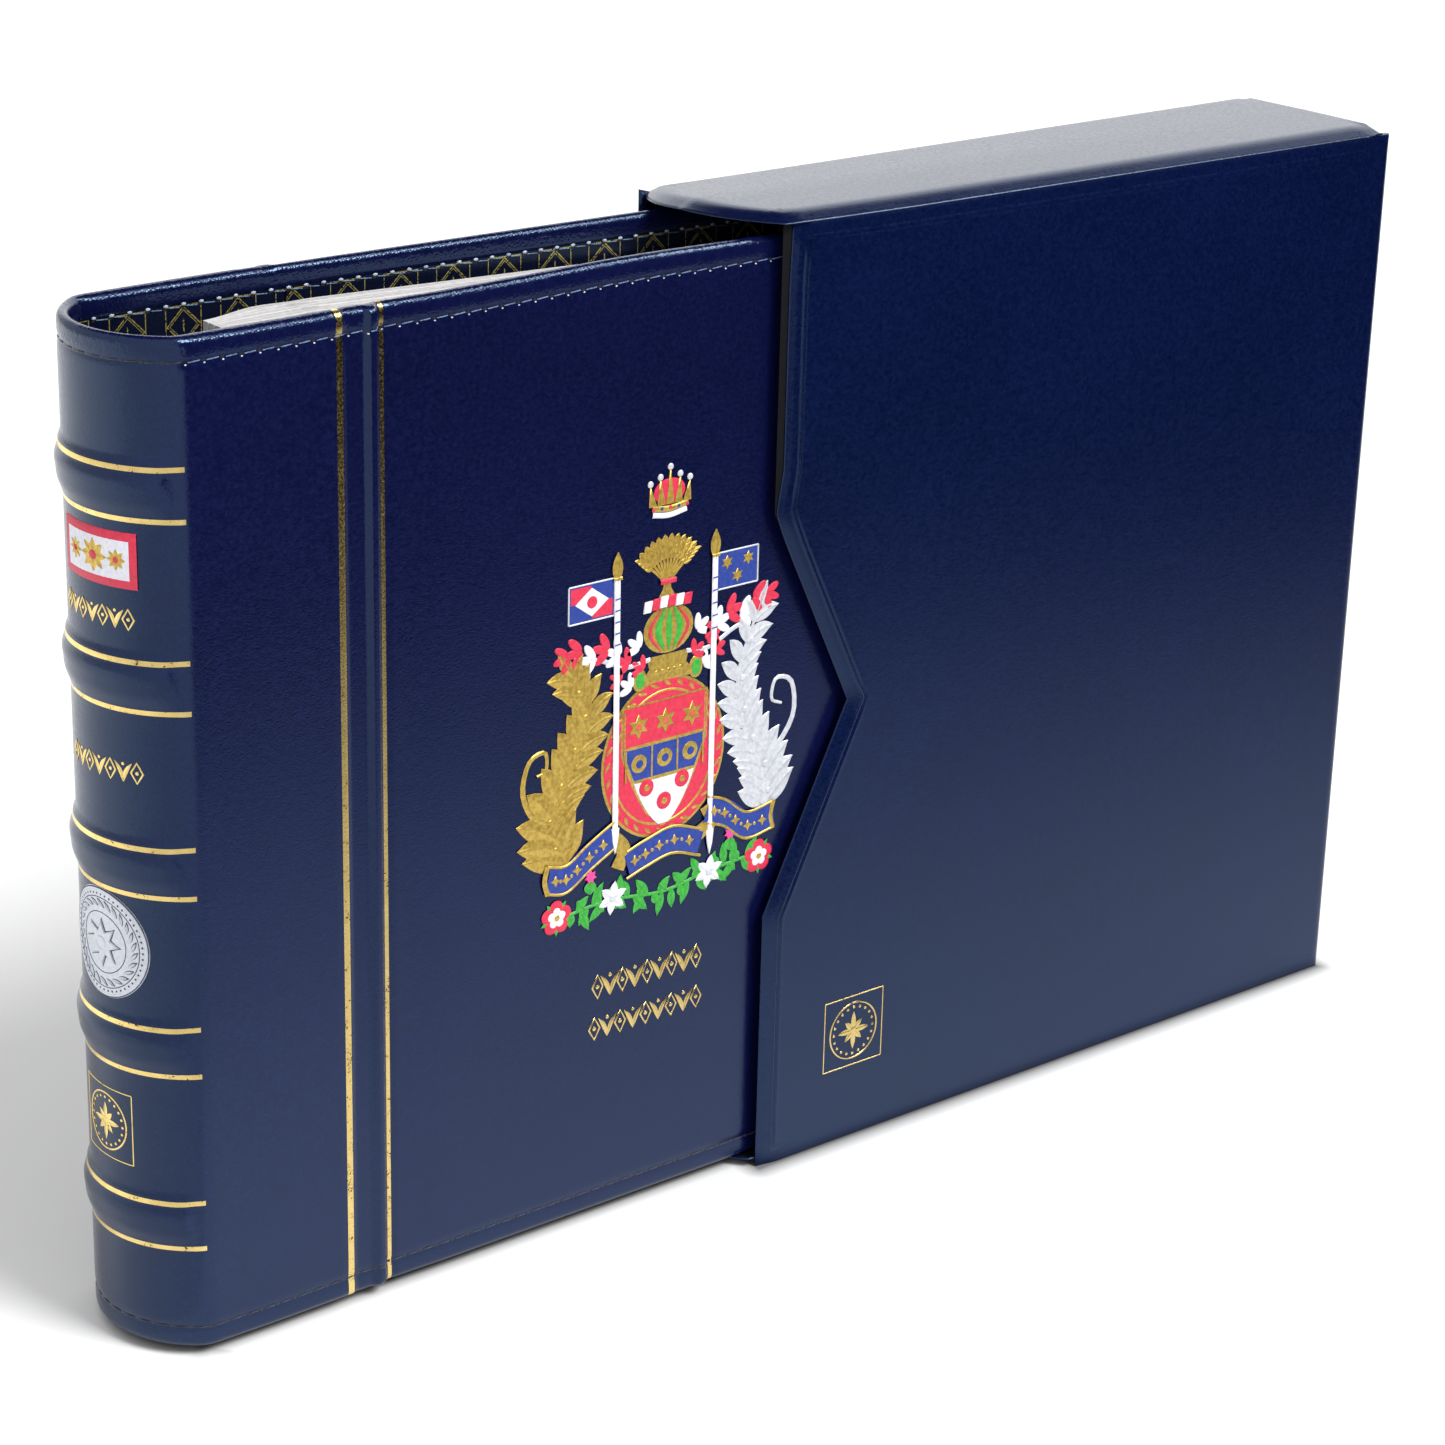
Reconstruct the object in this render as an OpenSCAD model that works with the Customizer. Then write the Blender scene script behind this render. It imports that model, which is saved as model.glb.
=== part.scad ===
// Ring-bound coin album with a rounded, banded spine, drawn partly out of its slipcase.
// Frame: origin at the centre of the slipcase's underside, +Z up, spine towards -X,
// front cover facing -Y, closed end of the slipcase at +X.

/* [Slipcase] */
// Length of the front and back panels, from the mouth to the closed end
case_l = 231; // [225:1:260]
// Outside thickness, front face to back face
case_t = 58.8; // [57:0.2:66]
// Outside height
case_h = 270.2; // [269.8:0.2:280]
// Thickness of the grey board
case_board_t = 1.75; // [1.5:0.05:2]
// Thickness of the leatherette covering
case_cover_t = 0.35; // [0.3:0.05:0.5]
// Thickness of the black paper lining
case_lining_t = 0.2; // [0.1:0.05:0.3]
// How far the top and bottom boards curve out past the mouth
mouth_bulge = 12; // [6:1:14]
// How far the closed end is set in from the ends of the side panels
rear_inset = 3.5; // [1:0.5:5]
// Depth of the V-shaped finger notch
notch_d = 28; // [20:1:40]
// Height of the finger notch along the mouth
notch_h = 116; // [90:1:140]

/* [Album cover] */
// Height of the album
album_h = 265; // [260:0.5:265]
// Thickness of the album at the spine
album_t = 50; // [48:0.5:50]
// Width of each cover, from the spine's corner to the fore-edge
cover_w = 226; // [224:1:226]
// How far the album stands out of the slipcase at rest
album_out = 177; // [150:1:178]
// Thickness of a padded cover
cover_t = 4.8; // [4.6:0.1:5.2]
// How far the rounded spine stands out past its corners
spine_rise = 15; // [13:0.5:16]
// Start of the hinge roll, from the spine's corner
roll_x0 = 42.5; // [42:0.5:44]
// Width of the hinge roll
roll_w = 12.6; // [10:0.2:14]
// How far the hinge roll stands out of the cover
roll_rise = 1.2; // [0.8:0.1:1.5]
// Lean of the back cover towards the pages beyond its hinge, in degrees
back_lean = 2.7; // [2:0.1:2.7]
// Thickness of the bonded leather
leather_t = 0.8; // [0.7:0.05:0.9]
// Height of the raised bands above the spine
band_rise = 1.5; // [1:0.1:2]
// Height of one raised band along the spine
band_h = 12.8; // [10:0.2:14]

/* [Pages] */
// Number of pages
page_n = 5; // [5]
// Thickness of one page
page_t = 4.2; // [4.2]
// Width of a page
page_w = 197; // [190:1:198]
// Height of a page
page_h = 252; // [250:1:253]
// Diameter of a coin
coin_d = 27.13; // [24:0.01:28]
// Thickness of a coin
coin_t = 1.95; // [1.7:0.01:2]

/* [Rings] */
// Diameter of the ring wire
wire_d = 3; // [2.5:0.1:3]
// Radius of the round side of a D-ring
ring_r = 15.4; // [15.2:0.1:15.6]
// Length of the ring mechanism
mech_l = 224; // [220:1:226]

/* [Hidden] */
$fn = 64;

navy = [0.05, 0.07, 0.27];
gap = 0.3;                                    // running gap between the album and the slipcase
// Slipcase
mouth_x = -case_l / 2;
case_end_x = case_l / 2;
wall_t = case_board_t + case_cover_t + case_lining_t;
rear_x = case_end_x - rear_inset;             // outside face of the closed end
mouth_r = (pow(case_t / 2, 2) + pow(mouth_bulge, 2)) / (2 * mouth_bulge);
mid_z = case_h / 2;
// Album, in its own frame: x from the spine's corner, y from mid-thickness, z from its foot
album_x = mouth_x - album_out;
album_z = wall_t + gap;
half_t = album_t / 2;
spine_r = (pow(half_t, 2) + pow(spine_rise, 2)) / (2 * spine_rise);
spine_cx = spine_r - spine_rise;              // centre of the spine's arc
roll_x1 = roll_x0 + roll_w;
hinge_lining_t = 0.4;
board_t = 2.2;
padding_t = cover_t - leather_t - board_t - hinge_lining_t;
inner_y = half_t - cover_t;                   // inside face of each cover
turn_in = 10;                                 // leather turned in over the inside edges
band_zs = [for (i = [0:4]) 35 + 48 * i];
spine_in_r = spine_r - leather_t - board_t - hinge_lining_t;
lip_a = asin(half_t / spine_r);               // half angle of the spine's arc
// Pages
page_gap = 0.35;
page_pitch = page_t + page_gap;
page_x0 = 24.5;
page_z0 = (album_h - page_h) / 2;
stack_back_y = 11.4;                          // back face of the last page
stack_y0 = stack_back_y - page_n * page_pitch + page_gap;
front_card_t = 0.6;
slot_t = 0.6;
slide_t = 0.3;
core_t = 2.2;
back_card_t = page_t - front_card_t - slot_t - core_t;
rail_w = 7;
coin_cols = 4;
coin_rows = 5;
coin_pitch_x = 41;
coin_pitch_z = 47;
coin_x0 = 48 + coin_d / 2;
coin_z0 = (album_h - (coin_rows - 1) * coin_pitch_z) / 2;
coin_play = 0.3;
hole_r = 2.5;
slide_x0 = page_x0 + 18;
slide_play = 0.3;
window_r = coin_d / 2 - 1.2;
// Rings
ring_zs = [for (d = [-95, -35, 35, 95]) album_h / 2 + d];
post_x = 31;
wire_r = wire_d / 2;
base_y = inner_y;                             // back hinge board's inside face
base_t = 1;
pivot_x = 26.6;
pivot_y = 16.4;
pin_r = 1;
pin_play = 0.05;
barrel_r = 1.9;
blade_t = 1.2;
bow_cy = -0.2;
bow_foot_x = 22;
bow_tip_y = bow_cy - ring_r;
post_tip_y = bow_tip_y + wire_r + 0.3;
mech_z0 = (album_h - mech_l) / 2;
knuckle_n = 7;
knuckle_l = mech_l * 0.9 / knuckle_n;
lever_pin_r = 1;
lever_y = 15.4;
lever_x = 14.8;
lever_w = 8.8;
lever_tab_y = 5;
lever_zs = [mech_z0 + 4, mech_z0 + mech_l - 4];
lug_xs = [13.2, 24];
lug_t = 1.2;
rivet_r = 1.6;
rivet_head_r = 2.8;
rivet_x = 34;
rivet_zs = [mech_z0 + 60, mech_z0 + mech_l - 60];
plate_x0 = 13;
plate_x1 = 39;
plate_y = 12.9;
blade_x1 = 37;
blade_end = 11;                               // blades stop this far from the ends of the base
bow_blade_x = 21;
knuckle_play = 0.4;

// ---- placing helpers --------------------------------------------------------------
// Moves the album's own frame to where the album stands in the slipcase's frame
module in_album() {
    translate([album_x, 0, album_z]) children();
}

// Leans the back cover inwards about its hinge
module leaning() {
    translate([roll_x0, half_t, 0])
        rotate([0, 0, -back_lean])
            translate([-roll_x0, -half_t, 0]) children();
}

// A block given by its low and high corners
module block(low, high) {
    translate(low) cube(high - low);
}

// ---- slipcase ---------------------------------------------------------------------
// Outline of a side panel, seen from the front: x along the case, y up
module panel_outline(inset) {
    polygon([
        [mouth_x + inset, inset],
        [case_end_x - inset, inset],
        [case_end_x - inset, case_h - inset],
        [mouth_x + inset, case_h - inset],
        [mouth_x + inset, mid_z + notch_h / 2],
        [mouth_x + inset + notch_d, mid_z],
        [mouth_x + inset, mid_z - notch_h / 2]
    ]);
}

// A side panel's layer between two depths below the outer face; side is -1 front, 1 back
module panel_layer(side, depth0, depth1, inset) {
    y_mid = side * (case_t / 2 - (depth0 + depth1) / 2);
    translate([0, y_mid, 0])
        rotate([90, 0, 0])
            linear_extrude(depth1 - depth0, center = true) panel_outline(inset);
}

// Leatherette over a side panel: its face and the turned edges round the board
module panel_covering(side) {
    difference() {
        panel_layer(side, 0, case_cover_t + case_board_t, 0);
        panel_layer(side, case_cover_t, case_cover_t + case_board_t + 1, case_cover_t);
    }
}

// Flat outline of the top and bottom: a strip with a convex mouth
module mouth_outline(half_w, inset, x_end) {
    intersection() {
        translate([mouth_x - mouth_bulge + mouth_r + inset, 0]) circle(mouth_r, $fn = 96);
        translate([mouth_x - mouth_bulge - 1, -half_w]) square([mouth_bulge + 31, 2 * half_w]);
    }
    translate([mouth_x + 10, -half_w]) square([x_end - mouth_x - 10, 2 * half_w]);
}

// Layer of the top or bottom between two heights, between the side panels
module edge_layer(z0, z1, inset, x_end) {
    half_w = case_t / 2 - case_cover_t - case_board_t;
    translate([0, 0, z0]) linear_extrude(z1 - z0) mouth_outline(half_w, inset, x_end);
}

module slipcase_front_board() {
    color("tan") panel_layer(-1, case_cover_t, case_cover_t + case_board_t, case_cover_t);
}

module slipcase_back_board() {
    color("tan") panel_layer(1, case_cover_t, case_cover_t + case_board_t, case_cover_t);
}

module slipcase_top_board() {
    color("tan")
        edge_layer(case_h - case_cover_t - case_board_t, case_h - case_cover_t,
                   case_cover_t, rear_x - case_cover_t);
}

module slipcase_bottom_board() {
    color("tan")
        edge_layer(case_cover_t, case_cover_t + case_board_t, case_cover_t,
                   rear_x - case_cover_t);
}

module slipcase_rear_board() {
    half_w = case_t / 2 - case_cover_t - case_board_t;
    skin = case_cover_t + case_board_t;
    color("tan")
        block([rear_x - skin, -half_w, skin], [rear_x - case_cover_t, half_w, case_h - skin]);
}

module slipcase_front_covering() {
    color(navy) panel_covering(-1);
}

module slipcase_back_covering() {
    color(navy) panel_covering(1);
}

// Leatherette over the top or bottom board and round its mouth edge
module edge_covering(z_out, z_in) {
    z0 = min(z_out, z_in);
    z1 = max(z_out, z_in);
    grow = sign(z_in - z_out);
    difference() {
        edge_layer(z0, z1, 0, rear_x);
        edge_layer(z_out > z_in ? z0 - 1 : z0 + case_cover_t,
                   z_out > z_in ? z1 - case_cover_t : z1 + 1,
                   case_cover_t, rear_x + 1);
    }
}

module slipcase_top_covering() {
    color(navy) edge_covering(case_h, case_h - case_cover_t - case_board_t);
}

module slipcase_bottom_covering() {
    color(navy) edge_covering(0, case_cover_t + case_board_t);
}

module slipcase_rear_covering() {
    half_w = case_t / 2 - case_cover_t - case_board_t;
    color(navy)
        block([rear_x - case_cover_t, -half_w, case_cover_t],
              [rear_x, half_w, case_h - case_cover_t]);
}

module slipcase_side_linings() {
    skin = case_cover_t + case_board_t;
    color("black") for (side = [-1, 1])
        intersection() {
            panel_layer(side, skin, wall_t, case_cover_t);
            block([mouth_x - 1, -case_t, skin], [rear_x - skin, case_t, case_h - skin]);
        }
}

module slipcase_edge_lining() {
    skin = case_cover_t + case_board_t;
    half_w = case_t / 2 - wall_t;
    x_end = rear_x - skin;
    color("black") {
        translate([0, 0, skin])
            linear_extrude(case_lining_t) mouth_outline(half_w, case_cover_t, x_end);
        translate([0, 0, case_h - wall_t])
            linear_extrude(case_lining_t) mouth_outline(half_w, case_cover_t, x_end);
        block([x_end - case_lining_t, -half_w, wall_t], [x_end, half_w, case_h - wall_t]);
    }
}

// ---- album cover ------------------------------------------------------------------
// Part of the spine's ring in front of its corners, between two radii, in plan
module spine_arc(r0, r1) {
    difference() {
        translate([spine_cx, 0]) circle(r1, $fn = 96);
        translate([spine_cx, 0]) circle(r0, $fn = 96);
        translate([0, -album_t]) square([2 * album_t, 2 * album_t]);
    }
}

// Layer of a cover, front side: x0..x1 across, d0..d1 in from its face, clear of the ends
module cover_slab(x0, x1, d0, d1, edge) {
    block([x0, -half_t + d0, edge], [x1, -half_t + d1, album_h - edge]);
}

module mirrored_back() {
    mirror([0, 1, 0]) children();
}

// Leather round a board: outer skin, wrapped edges and a turned-in border on the inside
module leather_wrap(x0, x1, in0, in1) {
    difference() {
        cover_slab(x0, x1, 0, cover_t, 0);
        cover_slab(x0 + leather_t, x1 - leather_t, leather_t, cover_t - hinge_lining_t,
                   leather_t);
        cover_slab(in0, in1, cover_t - 1, cover_t + 1, turn_in);
    }
}

// Rounded roll of leather between the hinge board and the cover
module hinge_roll() {
    bury = 0.15;                              // the roll's edges lie this far under the face
    rise = roll_rise + bury;
    r = (pow(roll_w / 2, 2) + pow(rise, 2)) / (2 * rise);
    seam = 0.05;                              // clear of the hinge board's leather when leaned
    linear_extrude(album_h) intersection() {
        translate([roll_x0 + roll_w / 2, r - roll_rise - half_t]) circle(r, $fn = 96);
        translate([roll_x0 + seam, -half_t - rise]) square([roll_w + 0.5, rise + leather_t]);
    }
}

module hinge_board_leather() {
    leather_wrap(0, roll_x0, leather_t, roll_x0 - leather_t);
}

module hinge_leather() {
    color(navy) in_album() {
        hinge_board_leather();
        mirrored_back() hinge_board_leather();
    }
}

module leaf_leather() {
    hinge_roll();
    leather_wrap(roll_x1, cover_w, roll_x1 + leather_t, cover_w - turn_in);
}

module front_leather() {
    color(navy) in_album() leaf_leather();
}

module back_leather() {
    color(navy) in_album() leaning() mirrored_back() leaf_leather();
}

module spine_leather() {
    color(navy) in_album() difference() {
        linear_extrude(album_h) spine_arc(spine_r - leather_t - board_t, spine_r);
        translate([0, 0, leather_t])
            linear_extrude(album_h - 2 * leather_t)
                spine_arc(spine_r - leather_t - board_t - 1, spine_r - leather_t);
    }
}

module front_cover_board() {
    color("tan") in_album()
        cover_slab(roll_x1 + leather_t, cover_w - leather_t, leather_t + padding_t,
                   cover_t - hinge_lining_t, leather_t);
}

module front_cover_padding() {
    color("lightyellow") in_album()
        cover_slab(roll_x1 + leather_t, cover_w - leather_t, leather_t,
                   leather_t + padding_t, leather_t);
}

module front_hinge_board() {
    color("tan") in_album()
        cover_slab(leather_t, roll_x0 - leather_t, leather_t, cover_t - hinge_lining_t,
                   leather_t);
}

module front_lining() {
    color("midnightblue") in_album()
        cover_slab(roll_x1 + leather_t, cover_w - turn_in, cover_t - hinge_lining_t,
                   cover_t, turn_in);
}

module spine_board() {
    color("tan") in_album()
        translate([0, 0, leather_t])
            linear_extrude(album_h - 2 * leather_t)
                spine_arc(spine_r - leather_t - board_t, spine_r - leather_t);
}

// Raised bands: ring sectors with sloping shoulders round the spine
module spine_bands() {
    sweep = 2 * (lip_a - 3);
    r0 = spine_r;
    r1 = spine_r + band_rise;
    color(navy) in_album() for (z = band_zs)
        translate([spine_cx, 0, z]) rotate([0, 0, 180 - sweep / 2])
            rotate_extrude(angle = sweep, $fn = 96)
                polygon([[r0, -band_h / 2], [r1 - 0.4, -band_h / 4], [r1, 0],
                         [r1 - 0.4, band_h / 4], [r0, band_h / 2]]);
}

// Inner leather strip: rolls, hinge boards and the inside of the spine
module hinge_lining() {
    color("midnightblue") in_album() {
        linear_extrude(album_h) spine_arc(spine_in_r, spine_r - leather_t - board_t);
        hinge_strip();
        mirrored_back() hinge_strip();
        roll_backing();
        leaning() mirrored_back() roll_backing();
    }
}

module hinge_strip() {
    cover_slab(leather_t, roll_x0 - leather_t, cover_t - hinge_lining_t, cover_t, turn_in);
}

// Cloth behind the roll's leather, so that the roll bends as a hinge
module roll_backing() {
    cover_slab(roll_x0 + 0.3, roll_x1, leather_t, leather_t + 0.8, 0);
}

module back_hinge_board() {
    color("tan") in_album() mirrored_back()
        cover_slab(leather_t, roll_x0 - leather_t, leather_t, cover_t - hinge_lining_t,
                   leather_t);
}

module back_cover_board() {
    color("tan") in_album() leaning() mirrored_back()
        cover_slab(roll_x1 + leather_t, cover_w - leather_t, leather_t + padding_t,
                   cover_t - hinge_lining_t, leather_t);
}

module back_cover_padding() {
    color("lightyellow") in_album() leaning() mirrored_back()
        cover_slab(roll_x1 + leather_t, cover_w - leather_t, leather_t,
                   leather_t + padding_t, leather_t);
}

module back_lining() {
    color("midnightblue") in_album() leaning() mirrored_back()
        cover_slab(roll_x1 + leather_t, cover_w - turn_in, cover_t - hinge_lining_t,
                   cover_t, turn_in);
}

// ---- ring mechanism ---------------------------------------------------------------
module ring_base() {
    color("silver") in_album() {
        difference() {
            block([12, base_y - base_t, mech_z0], [40, base_y, mech_z0 + mech_l]);
            for (z = rivet_zs) at_rivet(z) cylinder(r = rivet_r, h = 10, center = true);
        }
        for (z = lever_zs, x = lug_xs) difference() {
            block([x, lever_y - 2.2, z - 2.5], [x + lug_t, base_y - base_t, z + 2.5]);
            translate([x - 1, lever_y, z])
                rotate([0, 90, 0]) cylinder(r = lever_pin_r, h = lug_t + 2);
        }
    }
}

module at_rivet(z) {
    translate([rivet_x, base_y, z]) rotate([90, 0, 0]) children();
}

module ring_rivets() {
    color("silver") in_album() for (z = rivet_zs) {
        at_rivet(z) cylinder(r = rivet_r, h = base_t);
        at_rivet(z) translate([0, 0, base_t]) cylinder(r = rivet_head_r, h = 0.8);
    }
}

// Arched spring cover over the blades, open at the rings
module ring_cover_plate() {
    plate_t = 1;
    z0 = mech_z0 + 9;
    z1 = mech_z0 + mech_l - 9;
    color("silver") in_album() difference() {
        block([plate_x0, plate_y, z0], [plate_x1, base_y - base_t, z1]);
        block([plate_x0 + plate_t, plate_y + plate_t, z0 - 1],
              [plate_x1 - plate_t, base_y, z1 + 1]);
        for (z = ring_zs)
            block([plate_x0 + plate_t, plate_y - 1, z - 4], [post_x + 3, plate_y + 3, z + 4]);
    }
}

// Foot of the piano hinge's barrel i
function knuckle_z(i) = album_h / 2 + (i - knuckle_n / 2) * knuckle_l + knuckle_play / 2;

// One row of the piano hinge's barrels: every second one from the first
module barrels(first) {
    difference() {
        for (i = [first:2:knuckle_n - 1])
            translate([pivot_x, pivot_y, knuckle_z(i)])
                cylinder(r = barrel_r, h = knuckle_l - knuckle_play);
        translate([pivot_x, pivot_y, -1])
            cylinder(r = pin_r + pin_play * (first % 2), h = album_h + 2);
    }
}

// Strips that join the barrels to their blade; dir is 1 towards +x and -1 towards -x
module barrel_webs(first, dir) {
    for (i = [first:2:knuckle_n - 1])
        translate([pivot_x + dir * 1.3, pivot_y - blade_t / 2, knuckle_z(i)])
            mirror([dir > 0 ? 0 : 1, 0, 0])
                cube([1.5, blade_t, knuckle_l - knuckle_play]);
}

module fixed_blade() {
    tab_x0 = blade_x1 - 1.5;
    color("silver") in_album() {
        barrels(0);
        barrel_webs(0, 1);
        difference() {
            block([pivot_x + 2.2, pivot_y - blade_t / 2, mech_z0 + blade_end],
                  [blade_x1, pivot_y + blade_t / 2, mech_z0 + mech_l - blade_end]);
            for (z = rivet_zs)
                translate([rivet_x, pivot_y, z]) rotate([90, 0, 0])
                    cylinder(r = 2, h = 4, center = true);
        }
        for (z = rivet_zs, s = [-1, 1])
            block([tab_x0, pivot_y + blade_t / 2, z + s * 8 - 2],
                  [blade_x1, base_y - base_t, z + s * 8 + 2]);
    }
}

module blade_pin() {
    color("silver") in_album()
        translate([pivot_x, pivot_y, album_h / 2])
            cylinder(r = pin_r, h = mech_l * 0.9 + 2, center = true);
}

module ring_posts() {
    color("silver") in_album() for (z = ring_zs)
        translate([post_x, pivot_y - blade_t / 2, z]) rotate([90, 0, 0])
            cylinder(r = wire_r, h = pivot_y - blade_t / 2 - post_tip_y);
}

// Round side of one D-ring: arc from its tip to its foot, a weld bead, then a straight leg
module bow(z) {
    foot_a = acos((bow_foot_x - post_x) / ring_r);
    leg_y = bow_cy + ring_r * sin(foot_a);
    translate([post_x, bow_cy, z])
        rotate([0, 0, foot_a])
            rotate_extrude(angle = 270 - foot_a, $fn = 96)
                translate([ring_r, 0]) circle(wire_r, $fn = 24);
    translate([bow_foot_x, leg_y, z]) sphere(wire_r + 0.15, $fn = 24);
    translate([bow_foot_x, leg_y + 0.2, z]) rotate([-90, 0, 0])
        cylinder(r = wire_r, h = pivot_y - leg_y - 0.2);
}

module ring_bows() {
    color("silver") in_album() {
        barrels(1);
        barrel_webs(1, -1);
        block([bow_blade_x, pivot_y - blade_t / 2, mech_z0 + blade_end],
              [pivot_x - 2.2, pivot_y + blade_t / 2, mech_z0 + mech_l - blade_end]);
        for (z = ring_zs) bow(z);
    }
}

module lever_pins() {
    color("silver") in_album() for (z = lever_zs)
        translate([lug_xs[0], lever_y, z])
            rotate([0, 90, 0]) cylinder(r = lever_pin_r, h = lug_xs[1] + lug_t - lug_xs[0]);
}

// Trigger lever: barrel on its pin, finger tab towards the pages, curled end
module lever(z, out) {
    x1 = lever_x + lever_w;
    difference() {
        union() {
            translate([lever_x, lever_y, z]) rotate([0, 90, 0]) cylinder(r = 2, h = lever_w);
            block([lever_x, lever_tab_y, z - 0.7], [x1, lever_y - 1, z + 0.7]);
            translate([lever_x, lever_tab_y, z + out * 0.6])
                rotate([0, 90, 0]) cylinder(r = 1.3, h = lever_w);
        }
        translate([lever_x - 1, lever_y, z]) rotate([0, 90, 0])
            cylinder(r = lever_pin_r + pin_play, h = lever_w + 2);
    }
}

module top_lever() {
    color("silver") in_album() lever(lever_zs[1], 1);
}

module bottom_lever() {
    color("silver") in_album() lever(lever_zs[0], -1);
}

// ---- pages ------------------------------------------------------------------------
// Front face of page k, counted from the front cover
function page_y(k) = stack_y0 + (k - 1) * page_pitch;

// A layer of page k between two depths behind its front face
module page_layer(k, d0, d1, x0, x1) {
    block([x0, page_y(k) + d0, page_z0], [x1, page_y(k) + d1, page_z0 + page_h]);
}

// Places its children at every coin's centre, with their axis through the page
module at_coins(k, depth) {
    for (i = [0:coin_cols - 1], j = [0:coin_rows - 1])
        translate([coin_x0 + i * coin_pitch_x, page_y(k) + depth, coin_z0 + j * coin_pitch_z])
            rotate([-90, 0, 0]) children();
}

module ring_holes(k) {
    for (z = ring_zs)
        translate([post_x, page_y(k) - 1, z]) rotate([-90, 0, 0])
            cylinder(r = hole_r, h = page_t + 2);
}

module page_core(k) {
    d0 = front_card_t + slot_t;
    color("gainsboro") in_album() difference() {
        page_layer(k, d0, d0 + core_t, page_x0, page_x0 + page_w);
        ring_holes(k);
        at_coins(k, d0 - 1) cylinder(r = coin_d / 2 + coin_play, h = core_t + 2);
    }
}

// Printed cards on both faces, with a window at each coin and rails for the slide
module page_cards(k) {
    x1 = page_x0 + page_w;
    slot_z = page_z0 + rail_w;
    color("whitesmoke") in_album() {
        difference() {
            page_layer(k, 0, front_card_t + slot_t, page_x0, x1);
            block([slide_x0, page_y(k) + front_card_t, slot_z],
                  [x1 + 1, page_y(k) + front_card_t + slot_t + 1, slot_z + page_h - 2 * rail_w]);
            ring_holes(k);
            at_coins(k, -1) cylinder(r = window_r, h = 3);
        }
        difference() {
            page_layer(k, page_t - back_card_t, page_t, page_x0, x1);
            ring_holes(k);
            at_coins(k, page_t - back_card_t - 1) cylinder(r = window_r, h = 3);
        }
    }
}

module page_coins(k) {
    d0 = front_card_t + slot_t + (core_t - coin_t);
    color("silver") in_album() at_coins(k, d0) cylinder(r = coin_d / 2, h = coin_t);
}

// Clear sheet that keeps the coins in; it draws out at the fore-edge
module page_slide(k) {
    d0 = front_card_t + (slot_t - slide_t) / 2;
    slide_z = page_z0 + rail_w + slide_play;
    color("lightcyan") in_album()
        block([slide_x0 + slide_play, page_y(k) + d0, slide_z],
              [page_x0 + page_w - 1, page_y(k) + d0 + slide_t, album_h - slide_z]);
}

module page_1_core() page_core(1);
module page_1_cards() page_cards(1);
module page_1_coins() page_coins(1);
module page_1_slide() page_slide(1);
module page_2_core() page_core(2);
module page_2_cards() page_cards(2);
module page_2_coins() page_coins(2);
module page_2_slide() page_slide(2);
module page_3_core() page_core(3);
module page_3_cards() page_cards(3);
module page_3_coins() page_coins(3);
module page_3_slide() page_slide(3);
module page_4_core() page_core(4);
module page_4_cards() page_cards(4);
module page_4_coins() page_coins(4);
module page_4_slide() page_slide(4);
module page_5_core() page_core(5);
module page_5_cards() page_cards(5);
module page_5_coins() page_coins(5);
module page_5_slide() page_slide(5);

// ---- drawing ----------------------------------------------------------------------
slipcase_front_board();
slipcase_back_board();
slipcase_top_board();
slipcase_bottom_board();
slipcase_rear_board();
slipcase_front_covering();
slipcase_back_covering();
slipcase_top_covering();
slipcase_bottom_covering();
slipcase_rear_covering();
slipcase_side_linings();
slipcase_edge_lining();
spine_leather();
hinge_leather();
front_leather();
back_leather();
front_cover_board();
front_cover_padding();
front_hinge_board();
front_lining();
spine_board();
spine_bands();
hinge_lining();
back_hinge_board();
back_cover_board();
back_cover_padding();
back_lining();
ring_base();
ring_cover_plate();
ring_rivets();
fixed_blade();
ring_posts();
blade_pin();
ring_bows();
lever_pins();
top_lever();
bottom_lever();
page_1_core();
page_1_cards();
page_1_coins();
page_1_slide();
page_2_core();
page_2_cards();
page_2_coins();
page_2_slide();
page_3_core();
page_3_cards();
page_3_coins();
page_3_slide();
page_4_core();
page_4_cards();
page_4_coins();
page_4_slide();
page_5_core();
page_5_cards();
page_5_coins();
page_5_slide();
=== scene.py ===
"""Looks of the ring-bound coin album and its slipcase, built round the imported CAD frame."""

import bisect
import math
import random

import bmesh
import bpy
from mathutils import Matrix, Vector


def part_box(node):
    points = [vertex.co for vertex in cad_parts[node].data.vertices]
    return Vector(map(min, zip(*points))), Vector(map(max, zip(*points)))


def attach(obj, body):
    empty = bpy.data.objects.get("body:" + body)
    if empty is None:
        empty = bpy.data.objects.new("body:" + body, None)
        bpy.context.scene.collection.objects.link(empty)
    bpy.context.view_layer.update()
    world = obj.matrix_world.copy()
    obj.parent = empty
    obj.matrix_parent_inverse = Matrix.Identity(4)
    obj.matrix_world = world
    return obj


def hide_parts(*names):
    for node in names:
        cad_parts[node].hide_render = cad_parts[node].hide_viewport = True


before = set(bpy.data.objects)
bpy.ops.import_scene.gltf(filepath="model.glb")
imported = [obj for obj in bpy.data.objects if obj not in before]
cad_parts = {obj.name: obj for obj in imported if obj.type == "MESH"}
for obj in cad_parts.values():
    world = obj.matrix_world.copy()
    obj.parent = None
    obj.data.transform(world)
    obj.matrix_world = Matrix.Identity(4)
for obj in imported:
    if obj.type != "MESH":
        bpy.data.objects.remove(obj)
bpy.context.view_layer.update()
MM = 0.001
random.seed(11)

# ---- sizes, in millimetres ---------------------------------------------------------


def box_mm(node):
    """Lowest and highest corner of a CAD piece, in millimetres."""
    low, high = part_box(node)
    return low / MM, high / MM


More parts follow.
